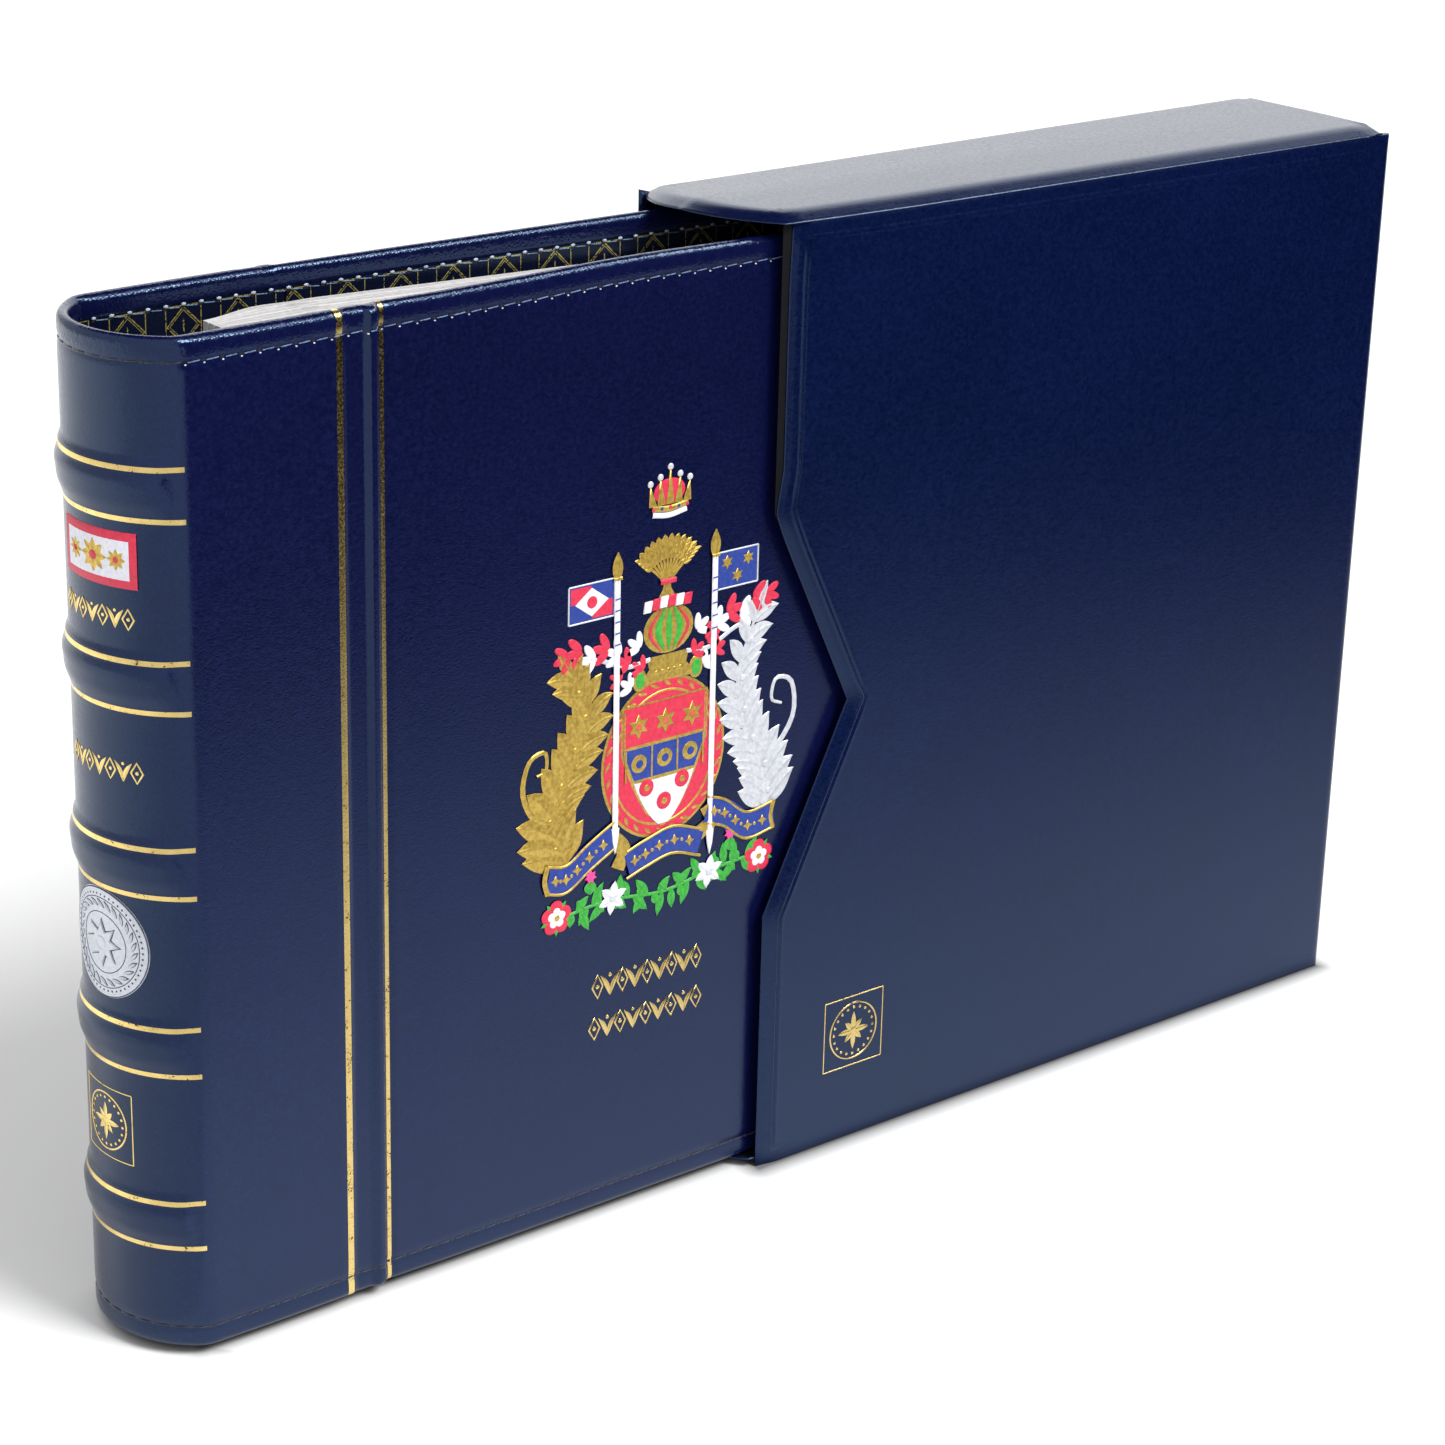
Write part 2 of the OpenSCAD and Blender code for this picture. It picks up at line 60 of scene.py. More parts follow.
HINGE_LOW, HINGE_HIGH = box_mm("hinge_leather")
COVER_HIGH = box_mm("front_leather")[1]
SPINE_LOW = box_mm("spine_leather")[0]
CASE_LOW, CASE_HIGH = box_mm("slipcase_front_covering")
TOP_LOW, TOP_HIGH = box_mm("slipcase_top_covering")
REAR_X = box_mm("slipcase_rear_covering")[1].x

# In the album's own coordinates w runs from the spine's corner towards the fore-edge, y across
# the thickness and z up from the foot
ALBUM_X = HINGE_LOW.x
FOOT_Z = HINGE_LOW.z
HEIGHT = HINGE_HIGH.z - HINGE_LOW.z
HALF = HINGE_HIGH.y
COVER_W = COVER_HIGH.x - ALBUM_X
COVER_T = 4.8
SPINE_T = 3.4
SPINE_RISE = ALBUM_X - SPINE_LOW.x
SPINE_R = (HALF ** 2 + SPINE_RISE ** 2) / (2 * SPINE_RISE)
SPINE_CX = SPINE_R - SPINE_RISE
LIP = math.asin(HALF / SPINE_R)
ROLL_X0 = HINGE_HIGH.x - ALBUM_X
BACK_LEAN = math.radians(2.7)

# Gold lines beside the hinge, as distances from the spine's corner
LINE_1 = (41.6, 43.4)
LINE_2 = (54.7, 55.9)
# Raised bands across the spine, with a gold line along each edge
BAND_ZS = [35 + 48 * i for i in range(5)]
BAND_H = 12.8
GOLD_LINE_H = 1.3
# Roundings: spine corner, edges of the leather, outline of a cover at its fore-edge
CORNER_R = 2.6
EDGE_R = 2.2
OUTLINE_R = 3.2
TURN_IN = 5.4
STITCH_IN = 6.0
STITCH_PITCH = 5.05
INNER_STITCH_IN = 6.4
# Where and how much the front cover's upper edge bows up, and how far that spreads
HUMP_W, HUMP_RISE, HUMP_SPREAD = 130.0, 0.75, 22.0


# ---- small maths -------------------------------------------------------------------
def angles(count, offset=0):
    """Even angles once round, in radians."""
    return [2 * math.pi * (i + offset) / count for i in range(count)]


def polar(x, z, r, a):
    """Point at distance r and angle a from (x, z)."""
    return x + r * math.cos(a), z + r * math.sin(a)


def clamp01(t):
    return max(0.0, min(1.0, t))


def smooth(t):
    t = clamp01(t)
    return t * t * (3 - 2 * t)


def ramp(x, a, b):
    return smooth((x - a) / (b - a))


def gauss(x, s):
    return math.exp(-0.5 * (x / s) ** 2)


def profile(x, points, ease=smooth):
    """Curve through (x, value) points, level outside them."""
    for (x0, v0), (x1, v1) in zip(points, points[1:]):
        if x <= x1:
            return lerp(v0, v1, ease((x - x0) / (x1 - x0)))
    return points[-1][1]


def lerp(a, b, t):
    return a + (b - a) * t


# ---- the album's surface -----------------------------------------------------------
ROLL_PROFILE = [(0, 0.0), (20, 0.25), (40, 0.05), (41.6, -0.1), (43.4, -0.1), (44.8, -0.6),
                (49.0, -0.5), (51.4, 0.75), (52.6, 0.65), (54.6, -1.35), (55.9, -1.35), (58, -1.1),
                (74, -0.75)]
# Height of a raised band over the distance below its upper gold line
BAND_PROFILE = [(-3.2, 0.0), (0.0, 0.85), (3.8, 1.75), (7.5, 1.45), (13.4, 0.0)]


def stitch_dip(edge):
    """How the leather is drawn in along the stitches, over the distance from the edge."""
    return -0.32 * gauss(edge - STITCH_IN, 0.75)


def leaf_relief(w, z):
    """Height of the leather over the flat cover face at w from the spine's corner."""
    edge = min(z, HEIGHT - z, COVER_W - w)
    bead_along_top = 0.15 * gauss(HEIGHT - z - 3.0, 1.1)
    return profile(w, ROLL_PROFILE) + stitch_dip(edge) + bead_along_top


def spine_relief(phi, z):
    """Height of the leather over the spine's arc; phi is the angle from the crown."""
    side = abs(phi) / LIP
    fade = 1 - ramp(side, 0.72, 0.99)
    height = stitch_dip(min(z, HEIGHT - z))
    for band in BAND_ZS:
        below = band + BAND_H / 2 - z
        height += profile(below, BAND_PROFILE) * fade
        height -= 0.5 * gauss(side - 0.9, 0.055) * gauss(below - 3.4, 2.2)
    return height


class Column:
    """One upright line of the cover, from its outer point in to its inner one."""

    def __init__(self, outer, normal, inner, relief, w=0.0, kind="leaf", phi=None):
        self.outer, self.normal, self.inner = Vector(outer), Vector(normal), Vector(inner)
        self.relief, self.w, self.kind, self.phi = relief, w, kind, phi

    def mirrored(self):
        """The same column on the back half, leaned inwards beyond the hinge."""
        flip = [Vector((v.x, -v.y)) for v in (self.outer, self.normal, self.inner)]
        out = Column(*flip, self.relief, self.w, self.kind,
                     None if self.phi is None else -self.phi)
        if self.w > ROLL_X0:
            out.outer, out.inner = lean(out.outer), lean(out.inner)
            out.normal = turn(out.normal)
        return out


def turn(v):
    """A plan direction turned by the back cover's lean."""
    c, s = math.cos(-BACK_LEAN), math.sin(-BACK_LEAN)
    return Vector((v.x * c - v.y * s, v.x * s + v.y * c))


def lean(p):
    """A plan point turned about the back cover's hinge."""
    pivot = Vector((ROLL_X0, HALF))
    return pivot + turn(Vector((p.x, p.y)) - pivot)


def leaf_column(w):
    """A column of the front cover; its fore-edge is rounded."""
    outer, inner = Vector((w, -HALF)), Vector((w, COVER_T - HALF))
    edge = COVER_W - w
    if edge < EDGE_R:
        face = -profile(w, ROLL_PROFILE)
        middle = Vector((w, (inner.y - HALF + face) / 2))
        full = math.sqrt(max(0.0, 1 - (1 - edge / EDGE_R) ** 2))
        outer = Vector((w, lerp(middle.y - face, -HALF, full)))
        inner = middle + (inner - middle) * full
    return Column(outer, (0, -1), inner, lambda z: leaf_relief(w, z), w)


def corner_columns(count):
    """Rounds the edge between the hinge board and the spine's arc."""
    phi = LIP - CORNER_R / SPINE_R
    start = Vector((CORNER_R, -HALF))
    end = Vector((SPINE_CX - SPINE_R * math.cos(phi), -SPINE_R * math.sin(phi)))
    knee = Vector((0, -HALF))
    out = []
    for i in range(count + 1):
        t = i / count
        point = start.lerp(knee, t).lerp(knee.lerp(end, t), t)
        along = (knee - start).lerp(end - knee, t).normalized()
        inner_start = Vector((CORNER_R, COVER_T - HALF))
        inner = inner_start.lerp(spine_inner(phi), t)
        out.append(Column(point, (-along.y, along.x), inner,
                          lambda z: stitch_dip(min(z, HEIGHT - z)), 0.0, "corner"))
    return out, phi


def spine_inner(phi):
    """Inner plan point of the spine, cut off where the cover boards begin."""
    r = SPINE_R - SPINE_T
    limit = COVER_T - HALF
    if r * math.sin(phi) > -limit:
        return Vector((SPINE_CX - math.sqrt(r * r - limit * limit), limit))
    return Vector((SPINE_CX - r * math.cos(phi), -r * math.sin(phi)))


def spine_column(phi):
    normal = Vector((-math.cos(phi), -math.sin(phi)))
    outer = Vector((SPINE_CX, 0)) + normal * SPINE_R
    return Column(outer, normal, spine_inner(phi), lambda z: spine_relief(phi, z), 0.0,
                  "spine", phi)


def steps(a, b, size):
    """Even steps from a towards b, none longer than size, without b itself."""
    n = max(1, math.ceil(abs(b - a) / size))
    return [a + (b - a) * i / n for i in range(n)]


ARC_STEPS = 22


def front_columns():
    """The columns from the front cover's fore-edge to the spine's crown."""
    ws = [COVER_W - s for s in (0.0, 0.12, 0.4, 0.85, 1.4, 2.0, 2.6, 3.6, 4.6, 5.2, 5.6, 6.0,
                                6.4, 6.9, 7.6, 9.0, 12.0)]
    for start, end, size in ((COVER_W - 16, 76, 6), (76, 60, 3), (60, LINE_2[1], 0.8),
                             (*reversed(LINE_2), 0.6), (LINE_2[0], 50, 0.3),
                             (50, LINE_1[1], 0.6), (*reversed(LINE_1), 0.9),
                             (LINE_1[0], 38, 1.2), (38, CORNER_R, 4)):
        ws += steps(start, end, size)
    corner, phi = corner_columns(8)
    arc = [phi * (1 - i / ARC_STEPS) for i in range(1, ARC_STEPS + 1)]
    return [leaf_column(w) for w in ws] + corner + [spine_column(p) for p in arc]


def cover_columns():
    """Every column, from the front cover's fore-edge round the spine to the back's."""
    front = front_columns()
    return front + [c.mirrored() for c in reversed(front[:-1])]


GOLD_ZS = [z + s * BAND_H / 2 for z in BAND_ZS for s in (-1, 1)]


def outer_zs():
    """Heights of the rows up the outer face."""
    zs = {EDGE_R + 0.3, 3.4, 4.4, 5.1, 5.6, 6.0, 6.4, 6.9, 7.7, 9.0, 12.0}
    zs |= {HEIGHT - z for z in list(zs)}
    for z in GOLD_ZS:
        zs |= {z - GOLD_LINE_H / 2, z + GOLD_LINE_H / 2}
    for band in BAND_ZS:
        top = band + BAND_H / 2
        zs |= {top + d for d in (3.2, 2.4, 1.6)}
        zs |= {top - d for d in (1.5, 2.4, 3.3, 4.2, 5.2, 6.4, 7.6, 8.8, 10.0, 11.2)}
    fixed = sorted(zs)
    out = []
    for a, b in zip(fixed, fixed[1:]):
        out += steps(a, b, 7)
    return out + [fixed[-1]]


def cover_rows():
    """(share of the way in, height) of each row, once round the cover's thickness."""
    rows = [(0.9, TURN_IN + 0.4), (1.0, TURN_IN + 0.1), (1.0, 4.4), (1.0, 3.2)]
    turns = [math.pi * i / 12 for i in range(13)]
    rows += [((1 + math.cos(a)) / 2, EDGE_R * (1 - math.sin(a))) for a in turns]
    rows += [(0.0, z) for z in outer_zs()]
    rows += [((1 - math.cos(a)) / 2, HEIGHT - EDGE_R * (1 - math.sin(a))) for a in turns]
    rows += [(1.0, HEIGHT - z) for z in (3.2, 4.4, TURN_IN + 0.1)]
    rows += [(0.9, HEIGHT - TURN_IN - 0.4)]
    return rows


def corner_height(w, z):
    """Rounds the outline of a cover at its fore-edge corners."""
    edge = COVER_W - w
    if edge >= OUTLINE_R:
        return z
    drop = OUTLINE_R - math.sqrt(OUTLINE_R * OUTLINE_R - (OUTLINE_R - edge) ** 2)
    middle = HEIGHT / 2
    return middle + (z - middle) * (middle - drop) / middle


def humped(w, y, z):
    """Height on the cover with the front cover's slightly bowed upper edge."""
    if y > 0:
        return z
    return z + HUMP_RISE * gauss(w - HUMP_W, HUMP_SPREAD) * ramp(z, HEIGHT - 30, HEIGHT)


def cover_point(column, f, z):
    """World point of a column at f of the way in and height z, in millimetres."""
    base = column.outer.lerp(column.inner, f)
    lift = column.relief(z) * (1 - f)
    spot = base + column.normal * lift
    return to_world(spot.x, spot.y, humped(spot.x, spot.y, corner_height(column.w, z)))


def to_world(w, y, z):
    return Vector((ALBUM_X + w, y, FOOT_Z + z)) * MM


# ---- mesh helpers ------------------------------------------------------------------
def in_scene(name, data):
    """A new object with this data, in the scene."""
    obj = bpy.data.objects.new(name, data)
    bpy.context.scene.collection.objects.link(obj)
    return obj


def mesh_object(name, bm, materials):
    mesh = bpy.data.meshes.new(name)
    bm.to_mesh(mesh)
    bm.free()
    for material in materials:
        mesh.materials.append(material)
    return in_scene(name, mesh)


def new_object(name, bm, materials, body, smooth_faces=True):
    """A piece of the object, riding on a body, with its materials."""
    bmesh.ops.recalc_face_normals(bm, faces=bm.faces)
    obj = mesh_object(name, bm, materials)
    if smooth_faces:
        obj.data.polygons.foreach_set("use_smooth", [True] * len(obj.data.polygons))
    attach(obj, body)
    return obj


def cad_mesh(name):
    """A copy of a CAD piece's mesh in its place, to cut and bend."""
    bm = bmesh.new()
    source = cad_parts[name]
    bm.from_mesh(source.data)
    bm.transform(source.matrix_world)
    return bm


def cut_through(bm, spot, normal):
    """Cuts every face where a plane crosses it."""
    bmesh.ops.bisect_plane(bm, geom=bm.verts[:] + bm.edges[:] + bm.faces[:], plane_co=spot,
                           plane_no=normal)


def loop_faces(bm, a, b, material=0):
    """Quads between two closed rings of verts."""
    for i in range(len(a)):
        k = (i + 1) % len(a)
        bm.faces.new((a[i], a[k], b[k], b[i])).material_index = material


def grid_faces(bm, grid, closed_rows=False, pick=None):
    """Quads between neighbouring columns of verts; pick(i, j) gives a face's material."""
    for i in range(len(grid) - 1):
        count = len(grid[i])
        for j in range(count if closed_rows else count - 1):
            k = (j + 1) % count
            face = bm.faces.new((grid[i][j], grid[i + 1][j], grid[i + 1][k], grid[i][k]))
            if pick:
                face.material_index = pick(i, j)


def clean(bm):
    """Joins verts that fall together and removes edges without length."""
    bmesh.ops.remove_doubles(bm, verts=bm.verts, dist=1e-6)
    bmesh.ops.dissolve_degenerate(bm, edges=bm.edges, dist=1e-6)


# ---- materials ---------------------------------------------------------------------
class Nodes:
    """Short hand for building one material's nodes."""

    def __init__(self, name):
        self.material = bpy.data.materials.new(name)
        self.material.use_nodes = True
        self.tree = self.material.node_tree
        self.shader = self.tree.nodes["Principled BSDF"]
        self.coords = self.add("ShaderNodeTexCoord").outputs["Object"]

    def add(self, kind, **values):
        node = self.tree.nodes.new(kind)
        for key, value in values.items():
            setattr(node, key, value)
        return node

    def put(self, socket, value):
        """Sets a socket to a constant, or links another node's output to it."""
        if isinstance(value, bpy.types.NodeSocket):
            self.tree.links.new(value, socket)
        elif socket.type == "RGBA":
            socket.default_value = (*value, 1.0)
        else:
            socket.default_value = value

    def fill(self, node, output=0, **inputs):
        """Fills a node's inputs by name and gives back one of its outputs."""
        for key, value in inputs.items():
            self.put(node.inputs[key.replace("_", " ")], value)
        return node.outputs[output]

    def set(self, **inputs):
        self.fill(self.shader, **inputs)

    def noise(self, scale, detail=3.0, rough=0.5, stretch=None):
        return self.fill(self.add("ShaderNodeTexNoise"), "Fac", Scale=scale, Detail=detail,
                         Roughness=rough, Vector=self.scaled(stretch))

    def cells(self, scale):
        return self.fill(self.add("ShaderNodeTexVoronoi"), "Distance", Scale=scale,
                         Vector=self.coords)

    def scaled(self, stretch):
        if stretch is None:
            return self.coords
        return self.fill(self.add("ShaderNodeMapping"), Scale=stretch, Vector=self.coords)

    def axes(self):
        """The X, Y and Z of the place on the object."""
        node = self.add("ShaderNodeSeparateXYZ")
        self.put(node.inputs[0], self.coords)
        return node.outputs

    def math(self, operation, *values):
        node = self.add("ShaderNodeMath", operation=operation)
        for socket, value in zip(node.inputs, values):
            self.put(socket, value)
        return node.outputs[0]

    def chain(self, operation, first, *others):
        """Joins values with one operation, from the left."""
        for value in others:
            first = self.math(operation, first, value)
        return first

    def plus(self, *values):
        return self.chain("ADD", *values)

    def minus(self, a, b):
        return self.math("SUBTRACT", a, b)

    def times(self, a, b):
        return self.math("MULTIPLY", a, b)

    def most(self, *values):
        return self.chain("MAXIMUM", *values)

    def below(self, a, b):
        return self.math("LESS_THAN", a, b)

    def gap(self, a, b):
        return self.math("ABSOLUTE", self.minus(a, b))

    def length(self, a, b):
        return self.math("SQRT", self.plus(self.times(a, a), self.times(b, b)))

    def mix(self, factor, a, b):
        node = self.add("ShaderNodeMix", data_type="RGBA")
        for index, value in ((0, factor), (6, a), (7, b)):
            self.put(node.inputs[index], value)
        return node.outputs[2]

    def span(self, value, low, high, out_low=0.0, out_high=1.0):
        return self.fill(self.add("ShaderNodeMapRange"), "Result", Value=value, From_Min=low,
                         From_Max=high, To_Min=out_low, To_Max=out_high)

    def bump(self, height, strength, distance):
        return self.fill(self.add("ShaderNodeBump"), "Normal", Height=height,
                         Strength=strength, Distance=distance)


def srgb(r, g, b):
    """Linear colour from an 8-bit display colour."""
    def one(v):
        v /= 255
        return v / 12.92 if v <= 0.04045 else ((v + 0.055) / 1.055) ** 2.4
    return (one(r), one(g), one(b))


# The reflections of the leather and of the printed paper are cooler than the light
COOL_TINT = (0.48, 0.72, 1.0)


def leather(name, colour, light, roughness, grain, depth):
    """Fine-grained bonded leather: pebbles, fine wrinkles and slight colour variation.
    grain is the pebbles' size and depth their relief, in millimetres."""
    n = Nodes(name)
    wrinkles = n.noise(0.45 / (grain * MM), 2.0, 0.6)
    height = n.plus(n.times(n.cells(1 / (grain * MM)), -0.8), wrinkles)
    tone = n.plus(n.times(n.noise(22.0, 2.0), 0.3), wrinkles)
    n.set(Base_Color=n.mix(n.span(tone, 0.47, 0.83), colour, light),
          Roughness=n.span(wrinkles, 0.3, 0.7, roughness - 0.04, roughness + 0.05),
          Normal=n.bump(height, 0.6, depth * MM), IOR=1.62, Specular_Tint=COOL_TINT)
    return n.material


def gold_foil(name, speckle):
    """Hot-stamped gold foil; speckle is how much of the leather shows through."""
    n = Nodes(name)
    grain = n.noise(1400.0, 3.0, 0.7)
    streaks = n.noise(260.0, 2.0)
    worn = n.span(n.plus(grain, n.times(streaks, 0.5)), 1.0 - speckle, 1.04 - speckle)
    gold = n.mix(streaks, srgb(255, 232, 158), srgb(226, 190, 108))
    n.set(Base_Color=n.mix(worn, gold, (0.02, 0.014, 0.008)), Metallic=n.minus(1.0, worn),
          Roughness=n.span(grain, 0.3, 0.7, 0.16, 0.34), Normal=n.bump(grain, 0.35, 0.00012))
    return n.material


MAT_LEATHER = leather("album_leather", srgb(6, 10, 46), srgb(11, 15, 58), 0.2, 0.5, 0.055)
MAT_RIM = leather("crinkled_rim", srgb(8, 12, 50), srgb(10, 15, 56), 0.16, 0.8, 0.13)
MAT_CASE = leather("case_leatherette", srgb(1, 10, 45), srgb(5, 16, 58), 0.22, 0.45, 0.04)
# Pale, glossy leather for the small white glints beside the needle holes: a painted highlight.
MAT_PAINTED_GLINT = leather("painted_glint_leather", srgb(146, 162, 186), srgb(206, 214, 224), 0.12, 0.5, 0.004)
MAT_GOLD = gold_foil("gold_foil", 0.1)
MAT_GOLD_WORN = gold_foil("gold_foil_worn", 0.13)


def surface(name, noise, dark, light, tone, rough, bump, **inputs):
    """A material whose colour, roughness and relief all follow one noise. tone and rough say
    between which values, and bump is the strength and the depth."""
    n = Nodes(name)
    grain = n.noise(*noise)
    n.set(Base_Color=n.mix(n.span(grain, *tone), dark, light),
          Roughness=n.span(grain, 0.3, 0.7, *rough), Normal=n.bump(grain, *bump), **inputs)
    return n.material


def foil(name, colour, dark, metallic, roughness):
    """Stamped foil or enamel: slightly wrinkled, with darker flecks."""
    return surface(name, (900.0, 2.0, 0.6), dark, colour, (0.38, 0.62, 0.35, 1.0),
                   (roughness, roughness + 0.15), (0.3, 0.00015), Metallic=metallic, IOR=1.5)


CREST = {
    "gold": foil("crest_gold", srgb(216, 184, 90), srgb(172, 140, 60), 0.6, 0.3),
    "silver": foil("crest_silver", srgb(222, 224, 230), srgb(196, 200, 210), 0.35, 0.35),
    "red": foil("crest_red", srgb(214, 42, 74), srgb(188, 30, 60), 0.0, 0.4),
    "blue": foil("crest_blue", srgb(34, 62, 150), srgb(24, 48, 128), 0.0, 0.4),
    "white": foil("crest_white", srgb(226, 226, 234), srgb(206, 206, 220), 0.0, 0.45),
    "green": foil("crest_green", srgb(60, 172, 60), srgb(40, 140, 48), 0.0, 0.4),
    "pink": foil("crest_pink", srgb(232, 70, 150), srgb(210, 54, 130), 0.0, 0.4),
    "orange": foil("crest_orange", srgb(206, 96, 62), srgb(190, 76, 50), 0.0, 0.4),
    "steel": foil("coin_relief", srgb(206, 210, 218), srgb(184, 189, 200), 0.75, 0.3),
    "engraved": foil("coin_engraving", srgb(74, 80, 98), srgb(46, 50, 66), 0.5, 0.4),
}


def thread(name, colour, shade):
    """Twisted sewing thread."""
    return surface(name, (2600.0, 1.0), shade, colour, (0.4, 0.6), (0.3, 0.5), (0.5, 0.0001),
                   Sheen_Weight=0.3)


# The lighter thread is painted light and the darker one painted shade: both stand for one mid-blue
# thread, shown lit on the front's top, the back and the inside seams and shaded on the spine, the
# front's side and the foot.
MAT_THREAD_PAINTED_LIT = thread("thread_painted_lit", srgb(92, 128, 156), srgb(40, 62, 100))
MAT_THREAD_PAINTED_SHADE = thread("thread_painted_shade", srgb(12, 16, 40), srgb(5, 7, 24))
# A near-black material for the needle holes: painted shade that stands in for the dark dimple of
# each hole.
MAT_PAINTED_HOLE_SHADE = thread("painted_needle_hole", srgb(10, 12, 34), srgb(4, 5, 16))


def printed_lining():
    """Dark lining paper printed with gold boxes, each with a lozenge inside."""
    n = Nodes("printed_lining")
    x, _, z = n.axes()
    pitch, box_share, line = 15.6 * MM, 0.654, 0.008
    start = to_world(37.7, 0, HEIGHT - 6.0)

    def fold(shifted):
        """Share of the way through one box of the print."""
        return n.math("FRACT", n.math("DIVIDE", n.plus(shifted, 40 * pitch), pitch))

    def near(value, target, width=line):
        return n.below(n.gap(value, target), width)

    def edges(value):
        return n.most(near(value, line), near(value, box_share - line))

    across, down = fold(n.minus(x, start.x)), fold(n.minus(start.z, z))
    posts = n.times(edges(across), n.below(down, box_share))
    rails = n.times(edges(down), n.below(across, box_share))
    sideways = n.gap(across, box_share / 2)
    reach = n.plus(sideways, n.gap(down, box_share / 2))
    lozenge = n.most(near(reach, 0.30, 0.014), near(reach, 0.25, 0.008))
    stalk = n.times(near(sideways, 0.0, 0.012), n.below(reach, 0.12))
    grain = n.noise(1500.0, 2.0, 0.7)
    worn = n.times(n.most(posts, rails, lozenge, stalk), n.math("GREATER_THAN", grain, 0.43))
    n.set(Base_Color=n.mix(worn, srgb(6, 9, 34), srgb(196, 182, 88)),
          Metallic=n.times(worn, 0.6), Roughness=n.span(grain, 0.3, 0.7, 0.24, 0.36),
          Normal=n.bump(grain, 0.3, 0.00006), Specular_Tint=COOL_TINT)
    return n.material


def paper(name, colour, shade, layers):
    """Card with a fibrous, layered edge; layers is how closely its sheets lie."""
    n = Nodes(name)
    fibre = n.noise(700.0, 3.0, 0.6)
    sheets = n.noise(500.0, 1.0, 0.4, (0.02, layers, 0.02))
    tone = n.plus(n.times(fibre, 0.5), n.times(sheets, 0.5))
    n.set(Base_Color=n.mix(n.span(tone, 0.35, 0.62), shade, colour),
          Roughness=n.span(fibre, 0.3, 0.7, 0.6, 0.8), Normal=n.bump(sheets, 0.25, 0.0002))
    return n.material


def metal(name, colour, roughness):
    """Plated metal with fine drawn scratches."""
    return surface(name, (600.0, 3.0, 0.6, (1.0, 1.0, 0.05)), tuple(v * 0.8 for v in colour),
                   colour, (0.3, 0.7), (roughness, roughness + 0.14), (0.1, 0.0001),
                   Metallic=1.0)


def black_paper():
    return surface("black_lining_paper", (900.0, 3.0), srgb(8, 8, 10), srgb(20, 20, 24),
                   (0.0, 1.0), (0.7, 0.9), (0.3, 0.0002), Specular_IOR_Level=0.15)


def clear_film():
    n = Nodes("clear_film")
    scuffs = n.noise(160.0, 3.0, 0.7)
    n.set(Base_Color=(0.96, 0.98, 1.0), Roughness=n.span(scuffs, 0.4, 0.8, 0.04, 0.16),
          Transmission_Weight=1.0, IOR=1.45)
    return n.material


COIN_R = 13.6
COIN_RIM_R, COIN_BEADS_R, COIN_FLOWER_R = 12.4, 11.7, 7.5


def struck_coin():
    """Coin faces with a plain rim, a ring of beads and an eight-petalled flower."""
    n = Nodes("struck_coin")
    low, high = box_mm("page_1_coins")
    x, _, z = n.axes()

    def fold(value, start, end, gaps):
        """Distance from the middle of the nearest coin, along one axis of the page."""
        pitch = (end - start - 2 * COIN_R) / gaps
        turns = n.math("DIVIDE", n.minus(value, (start + COIN_R) * MM), pitch * MM)
        return n.times(n.minus(turns, n.math("ROUND", turns)), pitch)

    dx, dz = fold(x, low.x, high.x, 3), fold(z, low.z, high.z, 4)
    reach, angle = n.length(dx, dz), n.math("ARCTAN2", dz, dx)
    rim = n.math("GREATER_THAN", reach, COIN_RIM_R)
    beads = n.times(n.math("SINE", n.times(angle, 60.0)),
                    n.below(n.gap(reach, COIN_BEADS_R), 0.45))
    petals = n.math("SINE", n.plus(n.times(angle, 8.0), reach))
    flower = n.times(petals, n.below(reach, COIN_FLOWER_R))
    height = n.plus(rim, n.times(beads, 0.5), n.times(flower, 0.5))
    n.set(Base_Color=n.mix(n.span(height, -0.6, 1.2), srgb(150, 152, 158), srgb(214, 216, 222)),
          Roughness=n.span(n.noise(300.0), 0.3, 0.7, 0.22, 0.34),
          Normal=n.bump(height, 0.6, 0.0004), Metallic=1.0)
    return n.material


MAT_LINING = printed_lining()
MAT_CARD = paper("page_card", srgb(214, 213, 213), srgb(184, 182, 182), 1.0)
MAT_CORE = paper("page_core_board", srgb(206, 204, 204), srgb(168, 165, 164), 2.0)
MAT_NICKEL = metal("nickel_plate", srgb(206, 206, 202), 0.2)
MAT_COIN = struck_coin()
MAT_FILM = clear_film()
MAT_BLACK = black_paper()


# ---- album cover -------------------------------------------------------------------
# Places of the materials in cover_leather
PLAIN, GOLD, GOLD_WORN, RIM = range(4)
RIM_H = 4.6


